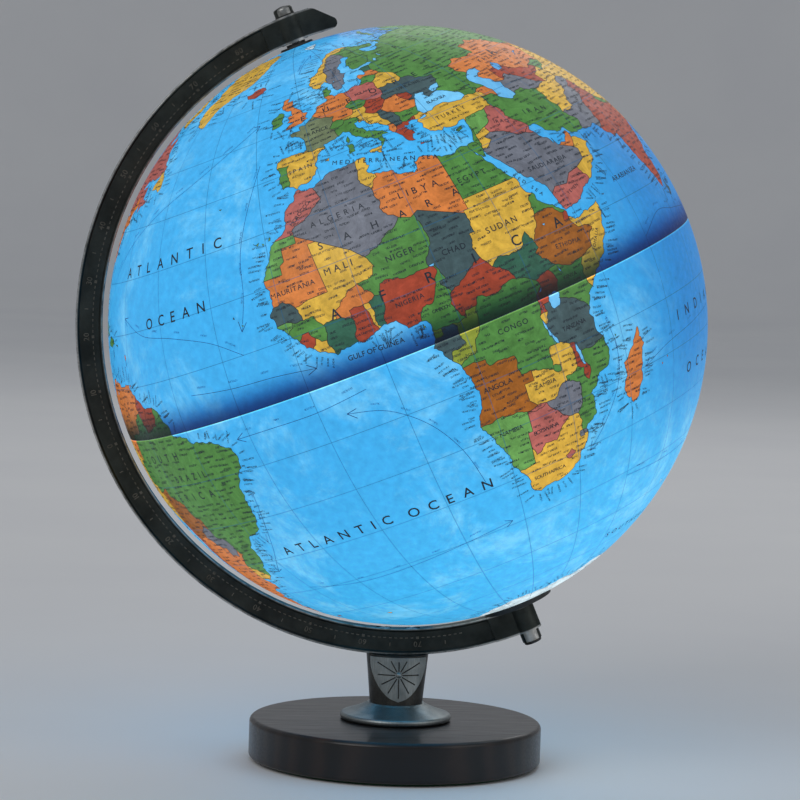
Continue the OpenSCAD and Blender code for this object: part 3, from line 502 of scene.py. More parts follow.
-60,8.5 -57.2,6 -54,5.8 -51.7,4.1 -50,1.8 -50,0 -48.4,-0.7 -47.4,-0.6 -44.3,-2.6 -41.3,-2.9 -38.6,-3.7
-35.3,-5.2 -34.8,-7.5 -35.3,-9.3 -37.2,-11.5 -38.5,-13 -39,-15.5 -39.2,-17.9 -40.2,-20.4 -41,-22 -43.2,-23
-46.3,-24 -48.5,-25.8 -48.6,-28.3 -50.3,-30.3 -52.2,-32.3 -53.5,-34 -55,-34.9 -57.8,-34.4 -58.4,-34
-57.2,-35.6 -56.7,-36.6 -57.6,-38.1 -62.1,-38.9 -62.3,-40.8 -65,-41 -63.6,-42.5 -65.3,-44.6 -67.5,-46
-65.8,-47.5 -68.9,-50.3 -68.4,-52.4 -65.2,-54.8 -68,-55.3 -71.5,-54 -74.7,-52 -75.5,-48.5 -74.5,-45.8
-73,-42.8 -73.8,-40 -73.6,-37.2 -71.7,-33 -71.5,-29.5 -70.4,-25 -70.1,-21 -70.4,-18.3 -73.5,-16 -76.2,-14
-77.2,-12 -79,-8.2 -81.2,-6 -81.3,-4.5 -80,-3 -80.9,-2.2 -80.5,-0.5 -80,0.8 -78.8,1.5 -77.2,3.8 -77.5,5.8
-77.9,7.2 ; -61,-51.8 -57.8,-51.6 -59,-52.3 ; -38,-54 -36,-54.3 -37,-54.7 ; 69,-48.8 70.3,-49.2 69,-49.7
"""
WATER = """
31.7,-0.8 32,0.2 33.5,0.4 34.3,-0.3 34,-1.2 33.5,-2.3 32.2,-2.5 31.8,-1.8 ; 29.2,-3.4 29.6,-4.5 30.2,-6.5
31,-8.6 30.4,-8.3 29.5,-6.5 29.1,-4.5 ; 34,-9.5 34.4,-10.5 34.9,-12.5 35.2,-14.2 34.7,-14 34.2,-12
33.9,-10.3 ; 36,4.5 36.4,3 36.6,2.5 36,3.4 ; 13.4,13.2 14.6,13.3 14.3,12.8 ; 37,12.1 37.6,12.1 37.3,11.7 ;
30.5,1.2 31.3,2.1 31,1.3 ; 47,45 49,46.3 51,47 53,46.7 53,45.3 51.3,45.1 50.3,44.4 51,43.5 52.5,42.7
52.6,41.6 54,41.2 53.2,39.6 53.9,37.3 52,36.6 50.2,37.3 48.9,38.4 49.5,40.3 48.5,42 47.5,43 46.8,44.3 ;
58.3,45 60,46.5 61.5,45.5 60.5,44 58.5,43.8 ; 104,51.6 106.5,52.7 109.5,55.5 109.9,54.8 107.5,52.6
105.5,51.4 ; 73.7,45.6 76,46.8 79,46.6 76,46.3 ; 28.9,41.3 28,42.5 28.6,43.8 29.7,45.2 30.8,46.5 33.2,46.1
32.6,45.4 33.6,44.5 35.2,45 36.5,45.2 37.8,44.7 39.6,43.6 41.5,42.2 41.5,41.5 40,41 38,41.1 36.3,41.4
35.1,42 33,41.9 31.4,41.3 ; 35,46.3 37.5,47 39,47.2 38,46 36.8,45.5 35.4,45.4 ; 27,40.5 28.9,41 29,40.5
27.5,40.3 ; 31,60.5 32,61.3 33,60.8 32,60 ; 35,61.5 35.5,62.5 36,61.3 ; 13,58.6 13.9,58.9 13.3,58.4 ;
-92,46.7 -90,47.8 -88.5,48.7 -86,48.7 -84.7,46.9 -86.5,46.5 -88,46.9 -90.5,46.7 ; -87.5,41.7 -87.9,43
-87.5,44.8 -86.5,45.7 -85,45.8 -86.3,44.5 -86.4,43 -86.8,41.8 ; -84.6,45.9 -82.5,46 -80.2,45 -81.5,44.6
-81.8,43.3 -82.5,43 -83.5,44 -83.4,45 ; -83.3,41.8 -81.5,42.6 -79,42.8 -80.5,42 -82.5,41.5 ; -79.7,43.3
-77.5,44 -76.3,44 -76.5,43.5 -79,43.3 ; -98.5,53.5 -97.5,53 -96.8,50.6 -98,51.5 ; -117,61.3 -113,62.2
-109.5,62.7 -113,61 -116,60.9 ; -124,66 -120,66.7 -118,66.3 -122,65.2 ; -72,9 -71.7,10.2 -71.2,9.2 ;
-70,-15.6 -69.4,-15.4 -68.8,-16.4
"""
BORDERS = """
-2.2,35.4 -1.7,34 -1.2,32.4 -3.6,31.2 -5.5,29.8 -8.7,28.7 -8.7,27.3 ; =-13.6,27.7 -8.7,27.7 ; =-8.7,27.4
-8.7,26 -12,26 -12,23.5 -13,23 -13,21.3 -17.3,21.3 ; =-8.7,27.3 -4.8,25 1.2,21.1 3.2,19 ; =-4.8,25 -6.5,25
-5.5,16.3 -5.4,15.5 -9.5,15.4 ; -9.5,15.4 -12.2,14.8 -14.3,16.6 -16.7,16 ; 3.2,19 4.3,19.2 7.5,20.9
12,23.5 ; 12,23.5 10.3,24.6 9.4,26.3 9.9,28 9.5,30.2 7.6,33.3 8.3,35 8.6,37.3 ; 9.5,30.2 10.3,31.8
11.5,32.4 11.5,33.4 ; =12,23.5 14.2,22.6 15.9,23.4 24,19.5 ; =24,19.5 24,20 25,20 25,32 ; =25,22 37.3,22 ;
15,23 15.5,20.5 15.5,16.9 13.5,14.4 13.6,13.1 ; 3.2,19 4.2,16.9 3.5,15.5 1,15 0.2,15 -2,14.2 -3.3,13.3
-5.3,11.8 -5.5,10.4 ; 0.2,15 1,13.4 2.1,12.7 2.4,11.9 1,11.1 -0.1,11.1 -2.8,11 -2.8,9.7 -5.5,10.4 ;
2.4,11.9 3.6,11.7 3.7,12.5 4.1,13.5 6,13.7 9,12.8 12,13.1 13.6,13.1 ; 3.6,11.7 3.6,10 2.7,7.9 2.7,6.1 ;
1,11.1 1.4,9.5 1.7,6 ; -0.1,11.1 0.5,8.5 0.7,7 1.2,5.9 ; -2.8,9.7 -2.6,8 -3.2,6.8 -3,4.9 ; -7.5,4.2
-8.4,6.5 -8.4,7.5 -7.9,8.6 -8.1,10.2 -6.5,10.5 -5.5,10.4 ; -8.1,10.2 -8.8,11 -9.3,12.3 -11.4,12.2
-12.2,14.8 ; -11.4,12.2 -13.7,12.6 -17,12.4 ; -13.7,12.6 -13.7,11.7 -15.2,10.7 ; -13.4,8.9 -12.5,9.9
-11.2,10 -10.3,8.5 -11.5,6.7 ; -10.3,8.5 -9.4,7.6 -8.4,7.5 ; 14.1,13 14.6,12 13.5,10.5 12.8,8.6 11.5,6.8
10.5,7 9.2,6.2 8.6,4.5 ; 14.5,12.9 15,11.9 15.5,10 14.2,9.9 15.5,7.5 14.5,5.5 15.2,4 16.2,2.2 13.3,2.2
11.3,2.2 9.8,2.3 ; 11.3,2.2 11.3,1 9.4,1 ; 13.3,2.2 14.2,1.3 13.9,0 14.5,-1.9 12.9,-2.4 11.6,-2.4 11,-4 ;
15.5,7.5 18.8,9 21.5,10.8 22.9,11 22.3,13 22.9,15.7 24,15.7 24,19.5 ; 22.9,11 24.2,8.7 26,10 28,9.4 31,9.8
33,12.2 33.9,9.5 ; 24.2,8.7 27.4,5.1 24.5,5 22.5,4.1 19.5,5 18.6,3.5 17.8,0 16.2,-2 15.3,-4.3 13,-4.7
12.1,-5.3 ; 16.2,2.2 16.6,3.5 18.6,3.5 ; 12.2,-5.9 16.6,-5.9 17,-7.3 19.4,-7.1 20.5,-7.3 21.8,-7.3 22,-11
24,-11 ; 24,-11 25.4,-11.6 27.2,-12 29,-13.4 29.8,-13.4 29.8,-12.2 28.4,-11.9 28.5,-9.2 28.9,-8.4
30.6,-8.4 ; =24,-11 24,-13 22,-13 22,-16.2 23.4,-17.6 ; 11.6,-17.3 14,-17.4 18.4,-17.4 21,-18 23.4,-17.6
25.2,-17.8 ; =21,-18 21,-22 20,-22 20,-28.4 ; 20,-28.4 17.5,-28.8 16.3,-28.7 ; 21,-18 23.5,-18.3
25.2,-17.8 26.5,-19.8 29.4,-22.2 27,-23.7 25.5,-25.7 23,-25.3 20.7,-26.9 20,-24.8 ; 25.2,-17.8 27,-17.9
28.9,-15.9 30.4,-15.6 32.9,-16.7 32.8,-20 31.3,-22.4 29.4,-22.2 ; 31.3,-22.4 31.9,-24.2 32,-26.8 33,-26.8
; 31,-26 32,-26 32,-27.2 31,-27.2 31,-26 ; 27,-29.6 28.5,-28.7 29.4,-29.5 28.2,-30.6 27.2,-30.2 27,-29.6 ;
30.4,-15.6 30.3,-14.8 33.2,-14 33.3,-12.3 33.2,-10.8 32.9,-9.4 ; 33.2,-14 34.5,-14.5 34.3,-15.8 35.2,-17.1
35.8,-16 35.8,-14.6 34.9,-13.6 ; 30.8,-8.3 32.9,-9.4 34,-9.6 ; 34.7,-11.6 37.5,-11.7 38.5,-11.4 40.7,-10.5
; 33.8,-1 37.6,-3 39.5,-4.8 ; 33.9,0 34.5,1.1 35,1.9 34,4.2 ; 33.9,-1 30.5,-1 29.6,-1.4 29.6,0.5 31.3,2.2
30.8,3.5 ; 29.6,-1.4 29,-2.7 29.4,-4.4 ; 30.5,-1 30.8,-2.4 30,-4.4 29.4,-4.4 ; 29,-2.7 30.8,-2.4 ;
27.4,5.1 29.5,4.4 30.8,3.5 34,4.2 35.9,4.6 38.1,3.6 39.5,3.5 41.9,3.9 41,2.8 41,-0.9 41.7,-1.9 ; 35.9,4.6
35,5.5 33,7.9 34.1,8.6 33.9,9.5 34.3,10.6 36,12.7 36.5,14.3 39,14.6 40.9,14.1 42.4,12.5 ; 36.5,14.3 37,17
38.7,18.2 ; 42.4,12.5 41.8,11 43.3,11.3 ; 42.4,12.5 43.4,12.8 ; 42.9,11 44,9 47,8 44.9,4.9 41.9,3.9 ;
-9,41.9 -6.4,41.7 -7,39 -7.4,37 ; -1.8,43.6 0.7,42.8 3.4,42.4 ; 7.5,43.6 7,45.9 6,46.3 7.5,47.6 8.2,49
6.2,49.5 4.2,50 2.4,51.3 ; 7,45.9 9,46 10.4,46.9 9.5,47.5 7.5,47.6 ; 10.4,46.9 12.4,46.8 13.7,46.5
13.8,45.5 ; 9.5,47.5 13,47.6 13.8,48.7 12.3,50.2 15,51 14.6,52.5 14.3,54.2 ; 6.2,49.5 6,51 7,52.3 7.1,53.7
; 3.2,51.5 4.6,51.5 6,51 ; 8.3,54.9 10.2,54.8 ; 15,51 18.6,49.8 22.6,49.1 24,50.7 23.6,51.5 23.6,52.2 23.6,54
22.7,54.4 19.6,54.4 ; 13.8,48.7 17,48.7 18.6,49.8 ; 17,48.7 17.1,48 18.8,47.8 22.2,48.4 22.6,49.1 22.9,48
; 17.1,48 16.2,46.8 13.7,46.5 ; 16.2,46.8 18.8,45.8 20.3,46.1 22.9,48 26.6,48.3 28.2,45.5 29.9,45.2 ;
13.5,45.6 15.8,45.2 17,45.2 19,44.9 18.8,45.8 ; 15.8,45.1 16,44.2 18.4,42.6 ; 19,44.9 19.5,43.5 20.3,42.8
20.6,41.9 19.3,42 ; 20.6,41.9 21,40.8 20,39.6 ; 21,40.8 23,41.3 26.3,41.7 26,40.7 ; 26.3,41.7 28.2,42 ;
20.3,46.1 21.4,44.8 22.7,44.2 25.5,43.7 28.8,43.7 ; 22.7,44.2 23,41.3 ; 26.6,48.3 29.2,47.8 30,46.4
28.2,45.5 ; 23.6,51.5 30.5,51.3 31.8,52.1 34.4,51.7 35.5,50.4 40,49.6 38.3,46.9 ; 31.8,52.1 31,54.7
28.2,56.1 27.3,57.5 28,59.7 ; 20.8,56.1 24.5,56.3 26.6,55.7 28.2,56.1 ; 23.6,54 26.6,55.7 ; 24.2,57.9
27.3,57.5 ; 27.8,60.4 31.5,62.9 29.7,64.5 30,67.7 28.5,69 30.8,69.8 30.6,70.6 ; 11.1,58.9 12.2,61 12,63.3
14.5,66 18.1,68.5 20.6,69.1 25.7,69 27.9,70.1 30.8,69.8 ; 20.6,69.1 23.7,67.5 24.1,65.6 ; 39.4,43.5
44.5,42.7 46.4,41.9 48.7,41.8 ; 36.5,45.2 36.8,45.5 ;
41.3,41.5 43.5,41.1 45,41.3 46.4,41.9 ; 45,41.3 46.5,39.5 44.8,39.7
43.5,41.1 ; 44.8,39.7 48,39.6 49,38.4 ; 44.8,39.7 44.5,37.8 44.8,37.2 ; 35.8,35.9 36.7,36.8 42.4,37.1
44.8,37.2 46,35.5 45.5,33.9 47.7,31.5 48.5,29.9 ; 42.4,37.1 41,34.4 38.8,33.4 ; 36,34.6 35.7,32.7
38.8,33.4 ; 35.7,32.7 35.5,31.5 34.9,29.5 ; 34.2,31.4 34.9,29.5 ; =34.9,29.5 36,29.2 38,30.5 37,31.5
39,32 38.8,33.4 ; =39,32 42,31.1 44.7,29.2 46.5,29.1 47.7,28.5 48.6,28.4 ; 46.5,29.1 47.9,30.1 ;
=42.6,16.4 44,17.4 47,17 49,18.6 52,19 55,20 55.7,22 55,22.7 51.6,24.2 ; 52,19 53.1,16.5 ; 55,22.7
56.5,24.9 ; 53.7,37.4 57,38.2 61.2,36.6 60.6,33.5 61.7,31.4 60.9,29.8 63.2,27.2 61.6,25 ; 61.2,36.6
64.7,37.1 66.5,37.4 68,37 71.5,37.9 74.9,37.3 ; 52.5,41.8 56,41.3 58.5,42.6 62,40 66.5,37.4 ; 56,41.3
56,45 58.6,45.2 ; 61.4,44.6 66,42.5 69,41.4 71,42.2 75,42.9 80.2,42.2 ; 71,42.2 73,41 70.5,40.2 67.7,39.6
68,37 ; 73,41 73.7,39.6 74.9,37.3 ; 74.9,37.3 71.5,36 70.2,33.5 66.5,31.6 66.3,29.9 60.9,29.8 ; 74.9,37.3
77.8,35.5 74,34 74.6,31.5 71,28 70,25 68.1,23.6 ; 49,46.4 47,48 47,50 51,51.5 55,50.8 61,50.8 61,54
69,55.3 71,54.2 77,53.3 80,51 87.3,49.1 ; 87.3,49.1 85.7,48 82.5,45.3 80.2,42.2 73.7,39.6 ; 87.3,49.1
92,50.7 98,50 102,51.3 107,49.8 116,49.8 119.8,47 115,45.4 111.8,43.7 105,41.6 96,42.7 ; 96,42.7 90.9,45.2
87.3,49.1 ; 116,49.8 119.9,52.8 121,53.3 126,52.8 127.5,50 131,47.8 134.7,48.4 133,45.1 131,43.5
130.6,42.2 ; 130.6,42.3 128,42 124.3,39.9 ; 126.5,37.8 128.5,38.6 ; 77.8,35.5 79,32.5 81,30.2 86,28
88.9,27.3 92,27.8 97.3,28.2 98.7,27.6 97.6,24 99.3,22.1 101.1,21.6 ; 81,30.2 80.1,28.8 84,27.4 88.1,26.4
88.1,27.9 ; 88.9,27.3 89.8,26.7 92,26.8 92,27.8 ; 89,21.6 88.6,24.5 88.1,26.4 ; 88.6,25.3 89.8,25.3
92.4,25 91.3,23.8 92.3,23.5 92.4,20.6 ; 92.3,23.5 94,24 97.3,28.2 ; 101.1,21.6 100.1,20.4 97.4,18.5
98.9,16.3 98.2,15 99.6,11.8 98.5,10 ; 101.1,21.6 102.1,22.4 104.9,22.9 108,21.5 ; 102.1,22.4 104,20.4
105.5,18.6 107.5,15.5 107.5,14.4 107.5,12.4 106,11 104.4,10.4 ; 100.1,20.4 101,17.6 103.5,18.3 104.8,16.5
105.6,14.4 107.5,14.4 ; 102.7,11.6 102.5,13.6 105.6,14.4 ; 100,6.4 102.2,6.1 ; 109.5,2 111,1 114.5,1.5
115.5,4 117.9,4.1 ; =141,-2.4 141,-9.4 ; =-123.3,49 -95.2,49 ; -95.2,49 -93,48.6 -89.5,48 ; -84.5,46.6
-84.3,45.9 ; -82.5,43.2 -83,42 ; -79,43.2 -79,42.7 ; -76.4,44 -75,45 ; =-75,45 -71.5,45 ; -71.5,45
-70,46.5 -68.5,47.4 -67.5,45.5 -67,44.7 ; =-141,69.8 -141,60.3 ; -141,60.3 -135,59.5 -130,55.3 ;
=-117.3,32.5 -114.8,32.5 -111,31.3 -108.2,31.5 ; -108.2,31.5 -106.5,31.8 -104.5,29.6 -102.5,29.7 -101,29
-99.3,26.8 -97,25.9 ; -92.3,14.4 -91.7,16.1 -91,17.8 -89.2,17.9 -88.1,18.4 ; -89.2,17.9 -89.2,15.9
-88.7,15.8 ; -90.2,13.6 -89.3,14.4 -88.3,15.9 ; -89.3,14.4 -87.7,13 -86,14 -83.1,15 ; -85.9,11.1
-83.5,10.9 ; -82.9,8.1 -82.6,9.6 ; -71.2,12 -72.5,9 -72,7.1 -67.5,6.2 -67,1.2 -64,1.6 -63.5,4 -60.7,5.2
-61.3,6.5 -60,8.6 ; -57.1,6.1 -58,4 -56.5,1.9 ; -54,5.9 -54.5,2.3 ; -60.7,5.2 -59.9,3 -59,1.3 -56.5,1.9
-54.5,2.3 -51.6,4.3 ; -67,1.2 -69.8,1.2 -69.9,-4.2 -73,-5 -73.2,-9.4 -70.6,-9.6 -70.6,-11 -69.5,-11 ;
-79,1.5 -75.3,-0.1 -73,-2.4 -69.9,-4.2 ; -75.3,-0.1 -77.5,-3 -79,-5 -80.5,-3.3 ; -69.5,-11 -65.3,-10
-65.3,-12 -60.5,-13.8 -60,-16.3 -58,-17.5 -58,-20.2 ; -69.5,-11 -69,-15 -69.5,-17.5 -70.5,-18.4 ;
-69.5,-17.5 -68.3,-20 -67.9,-22.8 -67.2,-22.8 ; -67.2,-22.8 -62.8,-22 -62.2,-20.5 -59,-19.3 -58,-20.2
-57.9,-22.1 -55.5,-22.6 -54.4,-25.6 ; -62.8,-22 -58,-25 -58.6,-27.3 -55.8,-27.4 -54.4,-25.6 -53.7,-27.1
-57.6,-30.2 -58.2,-33 -58.5,-34.2 ; -57.6,-30.2 -55.5,-31.5 -53.2,-33.8 ; -67.2,-22.8 -68.4,-25 -69.8,-30
-70,-33.5 -71.3,-37 -71.8,-41 -71.8,-45 -73,-50 -72,-52 -68.3,-52.3 ; =-68.6,-52.3 -68.6,-55.5 ;
=129,-14.7 129,-31.9 ; =138,-16.3 138,-26 ; =129,-26 141,-26 ; =141,-17 141,-38.2 ; =141,-29 153.7,-29 ;
141,-34 144,-35.8 150,-37.5
"""
# Country tints: one letter a tint, then the longitude and latitude of a point in each country.
TINTS = {
    "ocean": (0.044, 0.377, 0.753), "lake": (0.129, 0.449, 0.767), "ice": (0.505, 0.668, 0.767),
    "R": (0.295, 0.047, 0.022), "P": (0.367, 0.103, 0.089), "O": (0.523, 0.163, 0.038),
    "B": (0.286, 0.094, 0.012), "Y": (0.565, 0.348, 0.044), "G": (0.068, 0.202, 0.044),
    "L": (0.108, 0.278, 0.068), "V": (0.216, 0.262, 0.032), "S": (0.047, 0.083, 0.091),
    "M": (0.129, 0.140, 0.172), "T": (0.027, 0.103, 0.065), "N": (0.134, 0.169, 0.091),
}
SEEDS = """
P -6,32 L -13,25 M 3,29 Y 9.8,34 O 17,27 G 29,27 O -10,19 Y -1,18 G 9,17 S 19,15.5 Y 30,14 G 38,15.6
S -14.3,14.3 L -15,12.1 G -10.5,10.8 R -11.8,8.5 Y -9.5,6.4 T -5.5,7.5 O -1.5,12.3 R -1.2,8 Y 1,8 T 2.2,9.5
R 8,10 G 12.5,5 V 10.8,1.6 S 11.5,-0.7 V 15,-1 G 23,-3 R 21,6.5 T 30,7 B 40,8 Y 45.5,5 Y 48,9.5 R 42.7,11.6
G 37.5,0.6 R 32,1.6 R 30,-2 Y 30,-3.3 S 34.5,-6 B 18,-12.5 Y 27,-14 R 34.2,-13 G 37.5,-15.5 M 30,-19
P 24,-22 L 17,-22 Y 24,-31 P 28.2,-29.5 M 31.6,-26.6 O 47,-19.5 O -2,53 G -8,53 R -18,65 Y 9,61 M 15,63
G 26,63 G 9.3,56 O 9.5,51 P 20,52 N 2,47 Y -4,40 G -8,39.8 G 13,43 G 8.2,46.9 Y 14,47.3 G 15,49.8 R 19,47
O 26,45.7 G 25.5,42.7 R 22,39.5 S 21,44 Y 17,44.6 O 20,41.3 S 31,49 Y 28,53.5 O 24,56.8 G 24,55.3
T 26,58.7 R 29,47 R 19.5,48.7 G 60,60 Y 35,39 L 39,34.8 Y 36.5,31 G 34.9,31.2 P 43.5,33 M 45,24 P 47.5,15.5
Y 57,22 O 54.6,24 G 54,32 G 43.5,42 Y 45,40.2 O 48,40.5 O 66,49 M 59,39 R 64,41.5 Y 66,34 M 69,30 R 78,22
G 84,28.2 Y 71.5,38.6 G 75,41.3 Y 105,35 O 105,46.5 S 81,7.5 O 90,24 G 96,21 P 101,15 S 106,20.4
L 105,12.8 Y 103.5,19 V 90.5,27.3 G 102,4 O 113,-1 S 114.5,2.6 G 106.8,-6.6 M 120.3,-3.8 O 102,-1.5
G 126,40.3 T 128,37 R 138,37 R 143,44 Y 121,16 B 138,-4 R 144,-6 O 123,-27 P 134,-19.5 Y 144,-23
M 134,-30 G 146,-32.5 T 145,-37 G 175.7,-38.7 G 171,-43.5 P -105,57 O -100,40 G -150,64 Y -40,72
G -102.5,23.5 Y -90.3,15.2 O -86.5,14.5 L -85,12.7 G -78.5,22 G -71,19 O -73.5,4 O -65,7.5 R -59.3,4.8
R -56,4 G -53,4 Y -77.8,-1.3 Y -76,-9 B -64,-17 G -54,-10 P -71.2,-33 O -65,-36 M -58.3,-23 Y -56,-33
G 23,2 S 11.5,0.6 V 16.4,1.6 R 31,-0.6 G 38.5,-1.8 Y 42.3,-0.6 G -62,1.3 G -51.6,1.6 O -71.5,-1.5 Y -78.5,0.5
O 100,1.6 O 116.2,2 O 113,0.6 M 121,0.9 ice 90,-75 ice -30,-82 ice 15,79 P -122,63
"""


def rings(text):
    """The outlines in a text, each as (points, straight)."""
    found = []
    for piece in text.split(";"):
        straight = "=" in piece
        words = piece.replace("=", " ").split()
        if words:
            found.append(([tuple(float(x) for x in word.split(",")) for word in words], straight))
    return found


def between(a, b, rough, step):
    """The points from a to b, without a: midpoints are shifted sideways down to step degrees."""
    shrink = max(0.15, math.cos(math.radians((a[1] + b[1]) / 2)))
    across = (b[0] - a[0]) * shrink
    along = b[1] - a[1]
    length = math.hypot(across, along)
    if length < step:
        return [b]
    low, high = sorted((a, b))
    dice = random.Random(f"{low} {high}")
    shift = dice.uniform(-rough, rough) * (1 if a == low else -1)
    middle = (round((a[0] + b[0]) / 2 - shift * along / shrink, 5),
              round((a[1] + b[1]) / 2 + shift * across, 5))
    return between(a, middle, rough, step) + between(middle, b, rough, step)


def crinkled(points, rough, step=0.65):
    """An open line with its straight runs roughened like a drawn coast or border."""
    line = [points[0]]
    for a, b in zip(points, points[1:]):
        line += between(a, b, rough, step)
    return line


def all_sides(outlines):
    """The sides of closed outlines as rows of x0, y0, x1, y1, in 1-degree bins of latitude."""
    sides = np.vstack([np.hstack([outline, np.roll(outline, -1, 0)]) for outline in outlines])
    low = np.minimum(sides[:, 1], sides[:, 3])
    high = np.maximum(sides[:, 1], sides[:, 3])
    return [sides[(low <= lat + 1) & (high >= lat)] for lat in range(-90, 90)]


def inside(bins, lon, lat):
    """Whether a point is in an odd number of the closed outlines."""
    x0, y0, x1, y1 = bins[min(max(int(math.floor(lat)) + 90, 0), 179)].T
    crosses = (y0 > lat) != (y1 > lat)
    gap = np.where(crosses, y1 - y0, 1.0)
    return int(np.count_nonzero(crosses & (lon < x0 + (lat - y0) * (x1 - x0) / gap))) % 2 == 1


COASTS = [crinkled(points + points[:1], 0.17)[:-1] for points, straight in rings(LAND)]
LAKES = [crinkled(points + points[:1], 0.12)[:-1] for points, straight in rings(WATER)]
COAST_RINGS = [np.array(line) for line in COASTS]
LAKE_RINGS = [np.array(line) for line in LAKES]
COAST_SIDES = all_sides(COAST_RINGS)
LAKE_SIDES = all_sides(LAKE_RINGS)


def is_land(lon, lat):
    return inside(COAST_SIDES, lon, lat) and not inside(LAKE_SIDES, lon, lat)


def joined_borders():
    """Borders, with each loose end led on to the nearest shore."""
    shore = np.vstack(COAST_RINGS + LAKE_RINGS)
    rows = rings(BORDERS)
    used = {}
    for points, straight in rows:
        for point in set(points):
            used[point] = used.get(point, 0) + 1
    lines = []
    for points, straight in rows:
        line = crinkled(points, 0.0 if straight else 0.15, 1.2 if straight else 0.65)
        for end in (0, -1):
            tip = points[end]
            if used[tip] > 1:
                continue
            off = shore - np.array(tip)
            off[:, 0] *= math.cos(math.radians(tip[1]))
            near = int(np.argmin((off ** 2).sum(1)))
            target = tuple(shore[near])
            if math.hypot(*off[near]) < 1.6 and target != tip:
                line = [target] + line if end == 0 else line + [target]
        lines.append(line)
    return lines


BORDER_LINES = joined_borders()


def seed_points():
    """(tint, longitude, latitude) for each country."""
    words = SEEDS.split()
    return [(tint, *(float(x) for x in spot.split(","))) for tint, spot in zip(words[::2], words[1::2])]


SEED_POINTS = seed_points()


def half_map(low, high):
    """The map between two latitudes, cut into triangles along coasts and borders.
    Returns corner places in degrees, the triangles, and the sides that part two patches."""
    points, edges = [], []

    def lay(line, closed):
        first = len(points)
        points.extend(line)
        count = len(line)
        edges.extend((first + i, first + i + 1) for i in range(count - 1))
        if closed:
            edges.append((first + count - 1, first))

    for line in COASTS + LAKES:
        if max(p[1] for p in line) > low - 1 and min(p[1] for p in line) < high + 1:
            lay(line, True)
    for line in BORDER_LINES:
        if max(p[1] for p in line) > low - 1 and min(p[1] for p in line) < high + 1:
            lay(line, False)
    barriers = len(edges)
    columns = [-180 + STEP_DEGREES * i for i in range(TURN_STEPS + 1)]
    lay([(x, low) for x in columns] + [(x, high) for x in reversed(columns)], True)
    rows = int(round((high - low) / STEP_DEGREES))
    for row in range(1, rows):
        lat = low + (high - low) * row / rows
        shift = STEP_DEGREES / 2 * (row % 2)
        points.extend((x + shift, lat) for x in columns[:-1] if x + shift > -180)
        points.extend([(-180.0, lat), (180.0, lat)])
    found = delaunay_2d_cdt([Vector(p) for p in points], edges, [], 0, 1e-5, True)
    places, lines, faces, from_edges = found[0], found[1], found[2], found[4]
    places = np.array([tuple(p) for p in places])
    faces = np.array([tuple(f) for f in faces if len(f) == 3])
    middle = places[faces].mean(1)
    inside_band = ((middle[:, 1] > low) & (middle[:, 1] < high) & (np.abs(middle[:, 0]) < 180))
    faces = faces[inside_band]
    walls = {tuple(sorted(line)) for line, olds in zip(lines, from_edges) if any(i < barriers for i in olds)}
    return places, faces, walls


def patches(faces, walls):
    """A patch number for each triangle: triangles belong together unless a wall parts them."""
    parent = list(range(len(faces)))

    def root(i):
        while parent[i] != i:
            parent[i] = parent[parent[i]]
            i = parent[i]
        return i

    owner = {}
    for number, face in enumerate(faces.tolist()):
        for a, b in ((face[0], face[1]), (face[1], face[2]), (face[2], face[0])):
            side = (a, b) if a < b else (b, a)
            if side in walls:
                continue
            if side in owner:
                parent[root(number)] = root(owner[side])
            else:
                owner[side] = number
    return np.array([root(i) for i in range(len(faces))])


def corner_signs(a, b, spot):
    return (b[:, 0] - a[:, 0]) * (spot[1] - a[:, 1]) - (b[:, 1] - a[:, 1]) * (spot[0] - a[:, 0])


def tint_patches(places, faces, patch):
    """The tint of each triangle, and whether it is land."""
    a, b, c = places[faces[:, 0]], places[faces[:, 1]], places[faces[:, 2]]
    area = np.abs((b[:, 0] - a[:, 0]) * (c[:, 1] - a[:, 1]) - (b[:, 1] - a[:, 1]) * (c[:, 0] - a[:, 0]))
    middle = (a + b + c) / 3
    seeds = {}
    for tint, lon, lat in SEED_POINTS:
        signs = np.array([corner_signs(p, q, (lon, lat)) for p, q in ((a, b), (b, c), (c, a))])
        hit = np.flatnonzero((signs >= 0).all(0) | (signs <= 0).all(0))
        if len(hit):
            seeds.setdefault(patch[hit[0]], tint)
    tints = np.zeros((len(faces), 3))
    land = np.zeros(len(faces))
    for number in np.unique(patch):
        members = np.flatnonzero(patch == number)
        lon, lat = middle[members[np.argmax(area[members])]]
        if not inside(COAST_SIDES, lon, lat):
            tint = "ocean"
        elif inside(LAKE_SIDES, lon, lat):
            tint = "lake"
        elif number in seeds:
            tint = seeds[number]
        else:
            wide = math.cos(math.radians(lat))
            tint = min(SEED_POINTS, key=lambda s: ((s[1] - lon) * wide) ** 2 + (s[2] - lat) ** 2)[0]
        tints[members] = TINTS[tint]
        land[members] = tint not in ("ocean", "lake")
    return tints, land


def mesh_object(name, corners, faces, materials, normals=None):
    mesh = bpy.data.meshes.new(name)
    mesh.from_pydata([tuple(c) for c in corners], [], faces)
    for material in materials:
        mesh.materials.append(material)
    mesh.polygons.foreach_set("use_smooth", [True] * len(mesh.polygons))
    mesh.update()
    if normals is not None:
        mesh.normals_split_custom_set_from_vertices([tuple(n) for n in normals])
    obj = bpy.data.objects.new(name, mesh)
    bpy.context.scene.collection.objects.link(obj)
    return obj


